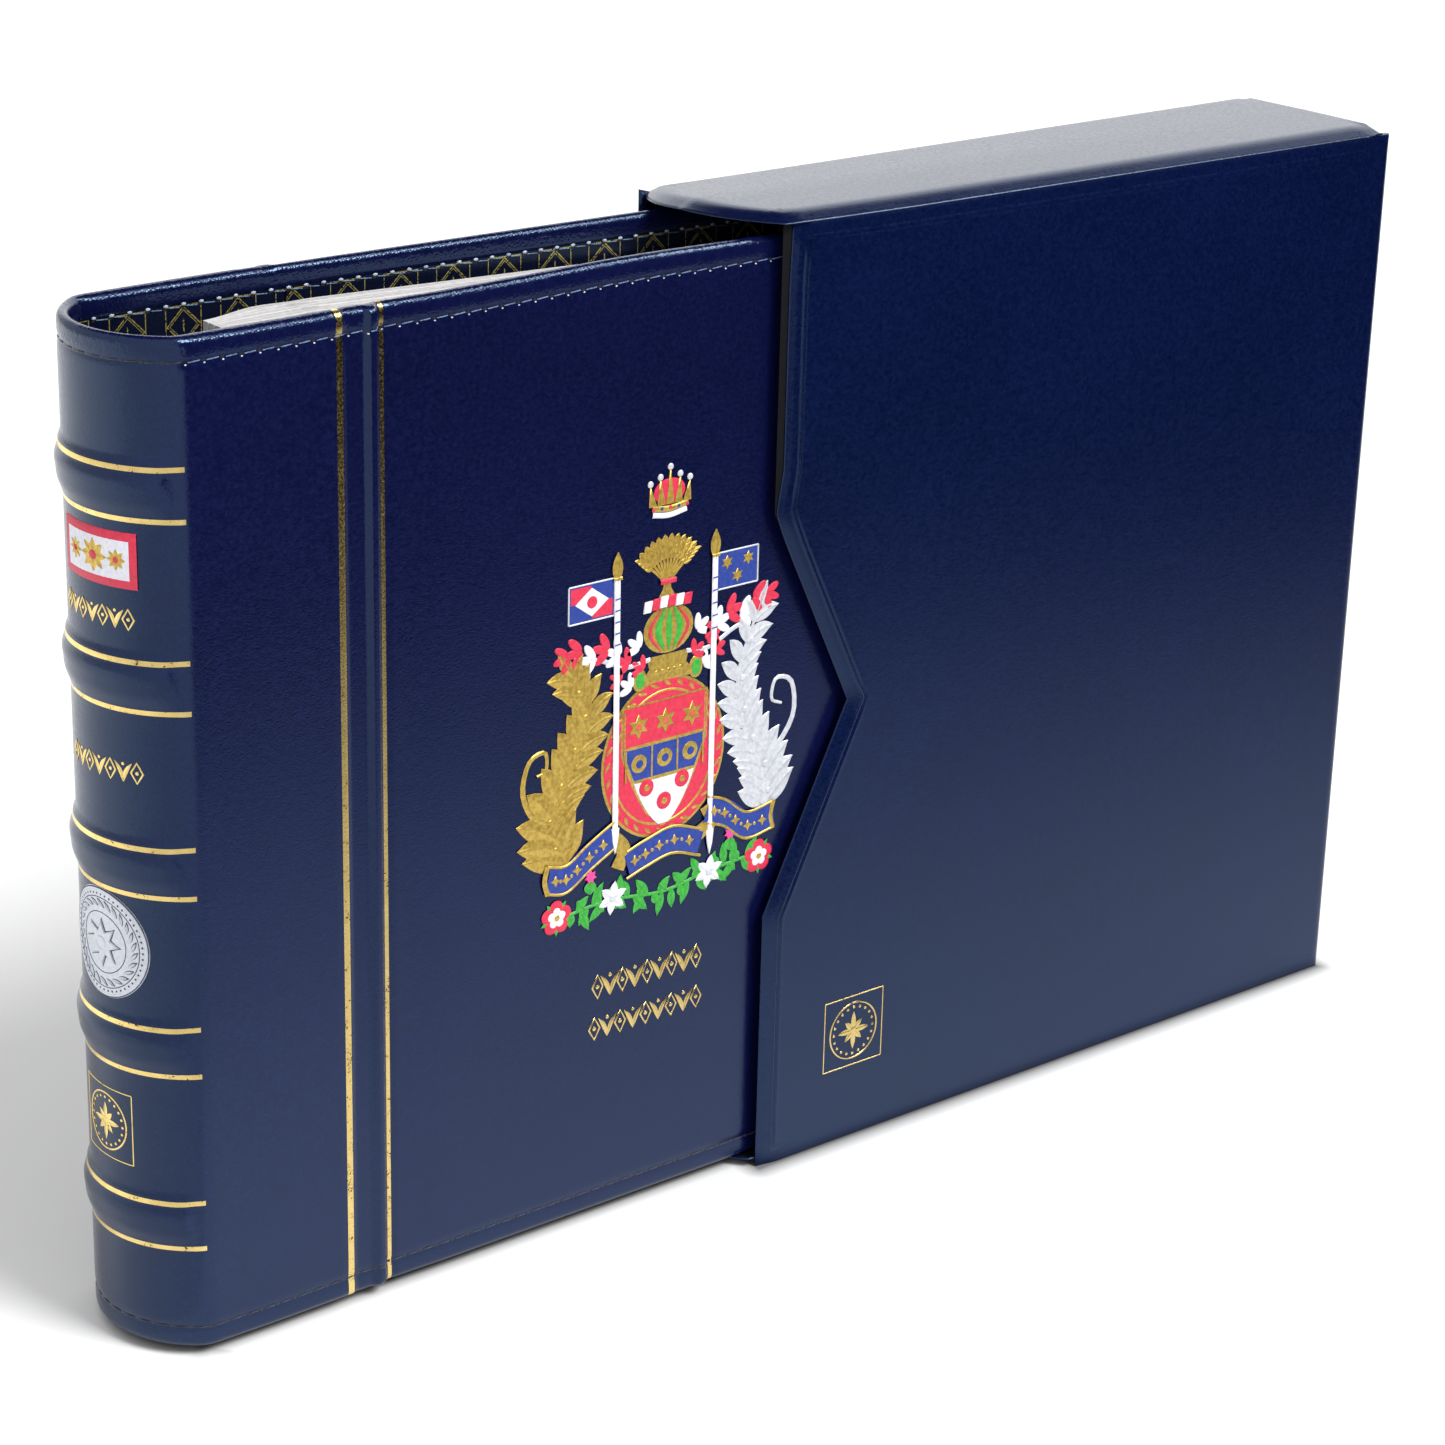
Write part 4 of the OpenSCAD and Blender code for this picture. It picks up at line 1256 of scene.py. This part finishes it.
def ribbon(stamp):
    """Blue scroll with gold edges and studs, folded twice."""
    spans = (((105.3, 102.4), (111.5, 101.4), (118.5, 105.6), (127, 110)),
             ((131.5, 100.3), (138, 102.3), (147, 104), (156.5, 101)),
             ((158.5, 109.8), (165, 107.4), (172.5, 102), (182, 103.0)))
    folds = (((125.5, 110.5), (130.5, 105), (128.5, 100)), ((156, 103.5), (160.5, 106.5),
                                                          (158.5, 111.5)))
    for points in folds:
        stamp.cord(curve(points, 10), 4.6, "gold", 0.3, 0.35)
    for points in spans:
        path = curve(points, 22)
        stamp.strip(path, 7.6, "blue", 0.25, 0.45)
        for offset in (-3.9, 3.9):
            stamp.cord([p + Vector((0, offset)) for p in path], 0.8, "gold", 0.3, 0.55)
        for p in path[3:-2:4]:
            stamp.patch(star(p.x, p.y, 1.7, 4, 0.45), "gold", 0.2, 0.66)
        for p in path[5:-3:4]:
            stamp.disc(p.x, p.y, 0.55, "gold", 0.2, 0.66, sides=8)
    for x, z in ((105.3, 102.4), (182, 103.0)):
        stamp.cord(curve(at(x, z, (0, -4.0), (-1.0, 0), (0, 4.2)), 8), 1.6, "gold", 0.35, 0.6)


def greenery(stamp):
    """Leaves, small flowers and rosettes under the scroll."""
    stem = curve([(111, 90.5), (126, 91.5), (144, 89.5), (160, 91.5), (174, 92.5)], 44)
    stamp.cord(stem, 1.0, "green", 0.3, 0.1)
    for i in range(1, 44):
        p = stem[i]
        side = 1 if i % 2 else -1
        length = 5.4 + 1.8 * math.sin(i * 2.1)
        stamp.leaf(p.x, p.y, 90 * side + 50 * math.sin(i * 1.7), length, 2.7, "green", 0.35,
                   0.12 + 0.01 * (i % 3))
    for x, z in ((127.0, 92.0), (159.8, 91.5)):
        for k in range(6):
            stamp.leaf(x, z, 60 * k + 20, 4.8, 2.6, "white", 0.35, 0.35)
        stamp.disc(x, z, 1.1, "silver", 0.3, 0.6)
    for x, z in ((119.5, 98.0), (167.0, 99.0)):
        stamp.leaf(x, z - 3.0, 90, 4.0, 4.0, "green", 0.35, 0.3)
        stamp.patch(star(x, z + 2.0, 2.1, 7, 0.6), "pink", 0.3, 0.35)
    rosette(stamp, 108.4, 91.0, 4.8)
    rosette(stamp, 177.3, 91.7, 4.8)


def build_crest():
    """A generic crest in the place, size and colours of the stamped one."""
    stamp = Stamp(on_front)
    mantling(stamp, 144.5, 160.0)
    branch(stamp, [(112.5, 104), (107.5, 117), (113.5, 132), (119, 146), (113.5, 157)], "gold",
           13.0, 1, [(108, 118), (101, 121), (97.4, 129), (99.5, 137), (104.5, 138.5),
                     (104.8, 133.5), (101.8, 132.5)])
    branch(stamp, [(179, 104), (177.5, 117), (171, 131), (168.5, 146), (174.5, 163)], "silver",
           12.0, -1, [(176, 120), (183, 123), (188.5, 131), (187.5, 140.5), (182.0, 142.5),
                      (180.6, 137), (184.0, 135)])
    orb(stamp, 144.5, 164.5)
    shield(stamp, 143.6, 109.0, 36.3)
    sheaf(stamp, 143.8, 172.4)
    banner(stamp, 126.4, 171.8, -1, 14.8, 10.2, "quarters")
    banner(stamp, 160.4, 171.9, 1, 13.9, 10.2, "stars")
    pole(stamp, 127.4, 112.0, 127.1, 181.7)
    pole(stamp, 159.7, 104.0, 159.5, 182.0)
    coronet(stamp, 144.0, 195.8)
    ribbon(stamp)
    greenery(stamp)
    stamp.finish("front_crest", "album")


def flourish(stamp, x0, x1, z, height, count):
    """A line of gold ornament: open lozenges alternating with pairs of leaves."""
    pitch = (x1 - x0) / count
    for i in range(count):
        x = x0 + (i + 0.5) * pitch
        if i % 2 == 0:
            h, w = height * 0.46, pitch * 0.42
            stamp.strip(at(x, z, (0, h), (w, 0), (0, -h), (-w, 0)), 0.6, "foil", 0.12,
                        closed=True)
            stamp.disc(x, z, height * 0.09, "foil", 0.12, sides=8)
        else:
            for side in (-1, 1):
                stamp.leaf(x, z - height * 0.45, 90 - side * 27, height * 0.98, height * 0.2,
                           "foil", 0.12, bend=side * 0.5)
            stamp.disc(x, z + height * 0.34, height * 0.08, "foil", 0.12, sides=8)


def emblem(stamp, x, z, size):
    """Square frame round a beaded ring with an eight-pointed star."""
    h = size / 2
    stamp.outline(box(x - h, z - h, x + h, z + h), 0.32, "foil", 0.08, cells=12)
    stamp.strip(ellipse(x, z, size * 0.40, size * 0.40, 40), 0.5, "foil", 0.1, closed=True)
    beads(stamp, x, z, size * 0.335, 20, size * 0.022, "foil", 0.1)
    for i in range(8):
        stamp.leaf(x, z, 45.0 * i, size * (0.2 if i % 2 else 0.27), size * 0.08, "foil", 0.1)
    stamp.disc(x, z, size * 0.05, "foil", 0.14, 0.1, sides=10)


def build_spine_marks():
    """A plaque with three rosettes, two lines of ornament and the emblem."""
    stamp = Stamp(on_spine)
    x0, x1, z0, z1 = -7.1, 18.0, 203.3, 217.3
    cx, cz = (x0 + x1) / 2, (z0 + z1) / 2
    for inset, foil_name, height, base in ((0.0, "red", 0.25, 0.05), (2.0, "white", 0.1, 0.25)):
        a, b, c, d = x0 + inset, x1 - inset, z0 + inset, z1 - inset
        row = [(a + (b - a) * i / 14, (c + d) / 2) for i in range(15)]
        stamp.strip(row, d - c, foil_name, height, base,
                    ((-1, 0.0), (-0.94, 1.0), (0.94, 1.0), (1, 0.0)))
    for dx, size in ((-7.0, 2.6), (0.0, 4.2), (7.0, 2.6)):
        for i in range(8):
            stamp.leaf(cx + dx, cz, 45 * i, size, size * 0.5, "gold", 0.2, 0.34)
        stamp.disc(cx + dx, cz, size * 0.28, "red", 0.2, 0.5)
    flourish(stamp, -9.0, 17.0, 195.7, 5.6, 7)
    flourish(stamp, -9.0, 18.0, 156.7, 5.8, 7)
    emblem(stamp, 1.4, 59.6, 19.4)
    stamp.finish("spine_marks", "album")


def build_spine_coin():
    """Stamped silver coin with engraved rings, a laurel ring and a star."""
    stamp = Stamp(on_spine)
    x, z, r = 3.3, 109.3, 14.6
    rings = tuple((1 - 0.08 * i, 0.0 if i == 0 else 1.0) for i in range(12))
    stamp.patch(ellipse(x, z, r, r, 60), "steel", 0.25, 0.05, rings)
    for radius, width, foil_name in ((r - 0.3, 0.3, "engraved"), (r - 0.8, 0.7, "steel"),
                                     (r - 2.7, 0.28, "engraved"), (8.0, 0.28, "engraved")):
        stamp.strip(ellipse(x, z, radius, radius, 60), width, foil_name, 0.1, 0.28, ROUND_BAND,
                    True)
    beads(stamp, x, z, r - 1.8, 52, 0.32, "engraved", 0.08, 0.29)
    for a in angles(26):
        for foil_name, long, wide, base in (("engraved", 3.3, 1.25, 0.28),
                                            ("steel", 2.8, 0.75, 0.4)):
            stamp.leaf(*polar(x, z, 9.6, a), math.degrees(a) + 62, long, wide, foil_name, 0.15,
                       base)
    stamp.patch(star(x, z, 6.9, 8, 0.55), "engraved", 0.1, 0.28)
    stamp.patch(star(x, z, 6.2, 8, 0.52), "steel", 0.35, 0.36)
    stamp.disc(x, z, 2.5, "engraved", 0.1, 0.6)
    stamp.disc(x, z, 2.0, "steel", 0.3, 0.66)
    stamp.finish("spine_coin", "album")


def build_front_marks():
    """Two lines of ornament under the crest."""
    stamp = Stamp(on_front)
    flourish(stamp, 120.5, 158.5, 67.0, 7.4, 9)
    flourish(stamp, 119.5, 158.8, 54.8, 7.0, 9)
    stamp.finish("front_marks", "album")


build_crest()
build_front_marks()
build_spine_marks()
build_spine_coin()


# ---- slipcase ----------------------------------------------------------------------
def mitre(points, d):
    """Closed outline moved inwards by d; points run anticlockwise."""
    out = []
    for i, p in enumerate(points):
        a, b = points[i - 1], points[(i + 1) % len(points)]
        e0, e1 = (p - a).normalized(), (b - p).normalized()
        n0, n1 = Vector((-e0.y, e0.x)), Vector((-e1.y, e1.x))
        out.append(p + (n0 + n1) * (d / max(0.2, 1 + n0.dot(n1))))
    return out


def shell(name, corners, kinds, insets, sunk, place, replaced, bend=None, cuts=()):
    """A board in its covering. kinds names each edge's profile in sunk, which is how deep the
    covering lies at each of the insets from that edge."""
    bm = bmesh.new()

    def loop(inset, depth):
        """Verts once round the outline; depth(i, first) is how deep they lie along edge i."""
        moved, verts = mitre(corners, inset), []
        for i, a in enumerate(moved):
            k = (i + 1) % len(moved)
            count = max(1, round((corners[k] - corners[i]).length / EDGE_STEP))
            for j in range(count):
                spot = a.lerp(moved[k], j / count)
                verts.append(bm.verts.new(place(spot.x, spot.y, depth(i, j == 0)) * MM))
        return verts

    def face_depth(level):
        def depth(i, first):
            own = sunk[kinds[i]][level]
            return max(own, sunk[kinds[i - 1]][level]) if first else own
        return depth

    loops = [loop(3.0, lambda i, first: BOARD_T),
             loop(0.0, lambda i, first: max(BOARD_T, sunk[kinds[i]][0] + 0.1))]
    loops += [loop(inset, face_depth(level)) for level, inset in enumerate(insets)]
    for a, b in zip(loops, loops[1:]):
        loop_faces(bm, a, b)
    bm.faces.new(loops[-1])
    bm.faces.new(list(reversed(loops[0])))
    cut_up(bm, cuts)
    if bend:
        for v in bm.verts:
            v.co = bend(v.co / MM) * MM
    piece = new_object(name, bm, [MAT_CASE], "slipcase")
    if not cuts:
        mark_flat(piece)
    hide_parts(*replaced)


def cut_up(bm, cuts):
    """Cuts a board's big faces into a grid, at one spacing along each axis."""
    for axis, size in cuts:
        places = [v.co[axis] / MM for v in bm.verts]
        normal = Vector([float(k == axis) for k in range(3)])
        for at in steps(min(places), max(places), size)[1:]:
            cut_through(bm, normal * at * MM, normal)


def mark_flat(obj):
    """Large flat ends stay flat-shaded; the profiles round them off."""
    for polygon in obj.data.polygons:
        if len(polygon.vertices) > 4:
            polygon.use_smooth = False


# Longest step between verts along a board's edges
EDGE_STEP = 6.0
# How far the side panels end below the top, the thumb notch, and a board in its covering
PANEL_DROP = 1.9
NOTCH_H = 116.0
NOTCH_D = 28.0
BOARD_T = 2.1
# How far the back panel reaches past the front one, and how its mouth corner turns up
BACK_REACH = 4.2
BACK_CORNER_RISE = 1.7
# How much less the side panels bow up than the top
PANEL_BOW_LESS = 0.6
# The top starts to bow at this height, and its faces are cut this finely along x and y
BOW_FROM_Z = 190
BOW_CUTS = ((0, 12.0), (1, 8.0))
# How far the mouth end of the top is bowed up, over x and then over y
BOW_X = [(-128, 4.4), (-100, 3.5), (-72, 2.9), (81, 1.0), (115, 0.6)]
BOW_Y = [(-29.4, 1.0), (0, 0.85), (29.4, 0.2)]
# Edge profiles: how deep the covering lies at each inset from the edge
PANEL_INSETS = (0.0, 0.1, 0.35, 1.5, 3.0, 3.5, 3.8, 4.2, 4.6, 5.0, 5.3, 5.8, 7.0)
PANEL_SUNK = {
    "plain": (1.0, 0.6, 0.35, 0.0, 0.0, 0.0, 0.0, 0.0, 0.0, 0.0, 0.0, 0.0, 0.0),
    "mouth": (1.9, 1.7, 1.6, 1.0, 0.4, 0.34, -0.08, -0.08, 0.34, 0.34, -0.08, 0.0, 0.0),
    "top": (1.0, 0.6, 0.35, 0.1, 0.25, 0.3, 0.1, 0.0, -0.1, -0.08, 0.0, 0.0, 0.0)}
LID_ARC_STEPS = 24
LID_INSETS = (0.0, 0.15, 0.5, 1.0, 1.6, 2.4, 3.4, 4.6, 6.0, 7.6)
LID_SUNK = {
    "plain": (1.0, 0.6, 0.3, 0.1, 0.0, 0.0, 0.0, 0.0, 0.0, 0.0),
    "mouth": (2.5, 2.3, 2.05, 1.8, 1.5, 1.06, 0.56, 0.16, 0.02, 0.0),
    "long": (2.6, 2.4, 2.15, 1.88, 1.54, 1.08, 0.56, 0.16, 0.02, 0.0)}
# How far the front panel's mouth edge is set back, over the height, and how far in that fades
SET_BACK = [(186, 0.0), (193, 0.7), (206, 2.7), (250, 2.7), (268, 3.3)]
SET_BACK_REACH = 40


def bow(x, y):
    """How far the slipcase's top is bowed up at (x, y)."""
    return profile(x, BOW_X, clamp01) * profile(y, BOW_Y, clamp01)


def side_panel(name, side, reach, replaced):
    """Front or back of the slipcase with its thumb notch; reach is past the front's mouth."""
    x0, x1, z1 = CASE_LOW.x - reach, CASE_HIGH.x, CASE_HIGH.z - PANEL_DROP
    middle = CASE_HIGH.z / 2
    corners = [Vector(p) for p in (
        (x0, 0), (x1, 0), (x1, z1), (x0, z1), (x0, middle + NOTCH_H / 2),
        (x0 + NOTCH_D + reach, middle), (x0, middle - NOTCH_H / 2))]
    kinds = ["plain", "plain", "top"] + ["mouth"] * 4

    def place(x, z, sunk):
        return Vector((x, side * (-CASE_LOW.y - sunk), z))

    def bend(p):
        rise = max(0.0, bow(p.x, p.y) - PANEL_BOW_LESS)
        if side > 0:
            rise += BACK_CORNER_RISE * ramp(-p.x, -CASE_LOW.x - 1.5, -CASE_LOW.x + 1)
        else:
            p.x += profile(p.z, SET_BACK) * (1 - ramp(p.x - x0, 0, SET_BACK_REACH))
        return Vector((p.x, p.y, p.z + rise * ramp(p.z, BOW_FROM_Z, z1)))

    shell(name, corners, kinds, PANEL_INSETS, PANEL_SUNK, place, replaced, bend)


def lid_outline(half):
    """Plan of the top and bottom, anticlockwise from the mouth's convex end."""
    bulge = CASE_LOW.x - TOP_LOW.x
    radius = (CASE_LOW.y ** 2 + bulge ** 2) / (2 * bulge)
    centre = TOP_LOW.x + radius
    a = math.asin(half / radius)
    arc = [Vector((centre - radius * math.cos(t), -radius * math.sin(t)))
           for t in [a - 2 * a * i / LID_ARC_STEPS for i in range(LID_ARC_STEPS + 1)]]
    arc = list(reversed(arc))
    return arc + [Vector((TOP_HIGH.x, -half)), Vector((TOP_HIGH.x, half))]


def lid(name, z_face, up, replaced):
    """Top or bottom of the slipcase; up is 1 for the top and -1 for the bottom."""
    half = -CASE_LOW.y - (0.15 if up > 0 else BOARD_T + 0.1)
    corners = list(reversed([Vector((p.x, -p.y)) for p in lid_outline(half)]))
    kinds = ["plain", "long"] + ["mouth"] * LID_ARC_STEPS + ["long"]

    def place(x, y, sunk):
        return Vector((x, y, z_face - up * sunk))

    def bend(p):
        return Vector((p.x, p.y, p.z + bow(p.x, p.y)))

    shell(name, corners, kinds, LID_INSETS, LID_SUNK, place, replaced,
          bend if up > 0 else None, BOW_CUTS if up > 0 else ())


def bowed_lining(name):
    """A paper lining's CAD piece, bowed up under the top like the board above it."""
    bm = cad_mesh(name)
    cut_up(bm, BOW_CUTS)
    for v in bm.verts:
        p = v.co / MM
        rise = bow(max(p.x, BOW_X[0][0]), p.y) * ramp(p.z, BOW_FROM_Z, CASE_HIGH.z - BOARD_T)
        v.co = (p + Vector((0, 0, rise))) * MM
    piece = new_object(name + "_bowed", bm, [MAT_BLACK], "slipcase", False)
    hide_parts(name)


def rear_panel():
    """The slipcase's closed end."""
    half = -CASE_LOW.y - BOARD_T
    z0, z1 = BOARD_T, CASE_HIGH.z - BOARD_T
    corners = [Vector(p) for p in ((-half, z0), (half, z0), (half, z1), (-half, z1))]

    def place(y, z, sunk):
        return Vector((REAR_X - sunk, y, z))

    shell("case_rear", corners, ["plain"] * 4, PANEL_INSETS, PANEL_SUNK, place,
          ("slipcase_rear_board", "slipcase_rear_covering"))


def build_case():
    """The slipcase's five covered boards and its paper linings."""
    side_panel("case_front", -1, 0.0, ("slipcase_front_board", "slipcase_front_covering"))
    side_panel("case_back", 1, BACK_REACH, ("slipcase_back_board", "slipcase_back_covering"))
    lid("case_top", CASE_HIGH.z, 1, ("slipcase_top_board", "slipcase_top_covering"))
    lid("case_bottom", 0.0, -1, ("slipcase_bottom_board", "slipcase_bottom_covering"))
    rear_panel()
    bowed_lining("slipcase_edge_lining")
    bowed_lining("slipcase_side_linings")


build_case()


def build_case_mark():
    """The emblem on the front of the slipcase."""
    stamp = Stamp(on_case)
    emblem(stamp, -82.0, 33.8, 21.6)
    stamp.finish("case_mark", "slipcase")


build_case_mark()


# ---- carried-over CAD parts --------------------------------------------------------
def finish_cad():
    """Gives the CAD pieces that stay visible their materials and soft edges."""
    endings = {"_lining": MAT_LINING, "_core": MAT_CORE, "_cards": MAT_CARD, "_coins": MAT_COIN,
               "_slide": MAT_FILM}
    for name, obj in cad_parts.items():
        if name.startswith("slipcase_"):
            material = MAT_BLACK
        else:
            material = next((m for end, m in endings.items() if name.endswith(end)), MAT_NICKEL)
        obj.data.materials.clear()
        obj.data.materials.append(material)
        if name.endswith(("_core", "_cards")) or name in ("ring_base", "ring_cover_plate"):
            bevel = obj.modifiers.new("soft_edges", "BEVEL")
            bevel.width = 0.2 * MM
            bevel.segments = 2
            bevel.limit_method = "ANGLE"


finish_cad()


# ---- stage, light and camera -------------------------------------------------------
# The camera was fitted to the object's corners in the photograph
CAMERA_EYE = (-0.72483, -0.74481, 0.49552)
CAMERA_TURN = (39.597, 21.013, 1.465)
CAMERA_LENS = 93.12
SUN_FROM = Vector((0.7, -1.75, 2.0))
SUN_POWER, SUN_ANGLE = 3.0, 0.45
WORLD_POWER = 0.75


def build_camera():
    """Places the camera by its eye point, azimuth, elevation and roll."""
    eye = Vector(CAMERA_EYE)
    azimuth, elevation, roll = (math.radians(v) for v in CAMERA_TURN)
    data = bpy.data.cameras.new("camera")
    data.lens = CAMERA_LENS
    data.sensor_width = 36
    data.clip_end = 50
    obj = in_scene("camera", data)
    forward = Vector((math.cos(elevation) * math.sin(azimuth),
                      math.cos(elevation) * math.cos(azimuth), -math.sin(elevation)))
    right = Vector((math.cos(azimuth), -math.sin(azimuth), 0))
    up = right.cross(forward)
    right, up = (right * math.cos(roll) + up * math.sin(roll),
                 up * math.cos(roll) - right * math.sin(roll))
    matrix = [[right[k], up[k], -forward[k], eye[k]] for k in range(3)]
    obj.matrix_world = Matrix(matrix + [[0, 0, 0, 1]])
    bpy.context.scene.camera = obj


# The floor, and the soft shadow painted on it round the object's foot: its grey, how far it
# reaches in metres, and how far in from the cover's outline it starts
FLOOR_WHITE = 0.9
PAINTED_SHADOW_GREY = 0.2
CONTACT_REACH = 0.006
CONTACT_INSET = 6.0


def painted_shadow_fade(n):
    """Share of the floor's white left outside the painted contact shadow, over the distance from
    the object's foot.
    """
    x, y, _ = n.axes()

    def beyond(value, low, high):
        return n.most(n.minus(low, value), n.minus(value, high), 0.0)

    def outside(x0, x1, half):
        return n.length(beyond(x, x0 * MM, x1 * MM), beyond(y, -half * MM, half * MM))

    from_hub = n.length(n.minus(x, (ALBUM_X + SPINE_CX) * MM), y)
    spine = n.most(n.minus(from_hub, (SPINE_R - CONTACT_INSET) * MM), n.minus(x, ALBUM_X * MM))
    near = n.chain("MINIMUM", outside(ALBUM_X, CASE_LOW.x, HALF - CONTACT_INSET), spine,
                   outside(CASE_LOW.x, CASE_HIGH.x, -CASE_LOW.y))
    return n.math("POWER", n.span(near, 0.0, CONTACT_REACH), 0.8)


def build_stage():
    """The white floor with its painted contact shadow, the even light all round and the plain
    display colours.
    """
    n = Nodes("studio_floor")
    # The floor's colour is darkened round the foot: a painted contact shadow.
    n.set(Base_Color=n.mix(painted_shadow_fade(n), (PAINTED_SHADOW_GREY,) * 3, (FLOOR_WHITE,) * 3),
          Roughness=0.9, Specular_IOR_Level=0.0)
    bm = bmesh.new()
    bmesh.ops.create_grid(bm, x_segments=1, y_segments=1, size=6.0)
    mesh_object("floor", bm, [n.material])
    world = bpy.data.worlds.new("studio")
    world.use_nodes = True
    background = world.node_tree.nodes["Background"]
    background.inputs["Color"].default_value = (1, 1, 1, 1)
    background.inputs["Strength"].default_value = WORLD_POWER
    bpy.context.scene.world = world
    bpy.context.scene.view_settings.view_transform = "Standard"


def glow_card(name, corners, strength, share=1.0, fade=None):
    """A card that only reflections see. share is how solid it is at most; fade is a plan
    direction (x, y) and the two distances along it between which it thickens from nothing."""
    n = Nodes(name)
    glow, clear, mixer = (n.add("ShaderNode" + kind)
                          for kind in ("Emission", "BsdfTransparent", "MixShader"))
    glow.inputs["Strength"].default_value = strength
    mixer.inputs[0].default_value = share
    if fade:
        dx, dy, start, end = fade
        x, y, _ = n.axes()
        along = n.plus(n.times(x, dx), n.times(y, dy))
        n.put(mixer.inputs[0], n.span(along, start, end, 0.0, share))
    n.put(mixer.inputs[1], clear.outputs[0])
    n.put(mixer.inputs[2], glow.outputs[0])
    n.put(n.tree.nodes["Material Output"].inputs["Surface"], mixer.outputs[0])
    bm = bmesh.new()
    bm.faces.new([bm.verts.new(c) for c in corners])
    card = mesh_object(name, bm, [n.material])
    for ray in ("camera", "diffuse", "shadow", "transmission"):
        setattr(card, "visible_" + ray, False)


def floor_card(name, x0, x1, y0, y1, strength, share, fade):
    """A card that lies just over the floor."""
    glow_card(name, [(x, y, 0.002) for x, y in ((x0, y0), (x1, y0), (x1, y1), (x0, y1))],
              strength, share, fade)


def wall_card(name, a, b, z0, z1, strength):
    """An upright card between two plan points."""
    glow_card(name, [(*a, z0), (*b, z0), (*b, z1), (*a, z1)], strength)


def build_lights():
    """The sun, and the cards that give the leather its dark and bright reflections."""
    data = bpy.data.lights.new("key", "SUN")
    data.energy, data.angle = SUN_POWER, SUN_ANGLE
    key = in_scene("key", data)
    key.location = SUN_FROM
    key.rotation_euler = (-SUN_FROM).to_track_quat("-Z", "Y").to_euler()
    floor_card("dark_card_front", -0.31, 4.0, -4.0, 0.0, 0.0, 1.0, (0.32, -1.0, -0.02, 0.5))
    floor_card("dark_card_left", -4.0, -0.31, -4.0, 0.1, 0.0, 0.42, (0.0, -1.0, -0.1, 0.25))
    floor_card("bright_card_left", -4.0, -0.4, 0.1, 4.0, 1.5, 1.0, (0.0, 1.0, 0.1, 0.5))
    wall_card("dark_wall", (-1.0, -2.4), (4.0, -2.4), 0.0, 2.4, 0.0)
    wall_card("dark_side", (4.0, -2.4), (4.0, 0.2), 0.0, 2.4, 0.0)
    wall_card("back_card", (2.6, 0.2), (0.2, 2.8), 0.3, 2.2, 1.5)
    glow_card("dark_top", [(-1.5, -0.4, 2.7), (3.2, -0.4, 2.7), (3.2, 3.0, 2.7),
                           (-1.5, 3.0, 2.7)], 0.0)
    glow_card("softbox", [(1.0, -0.9, 1.4), (1.5, -0.5, 1.4), (1.3, -0.1, 1.8),
                          (0.8, -0.5, 1.8)], 10.0)


build_camera()
build_stage()
build_lights()
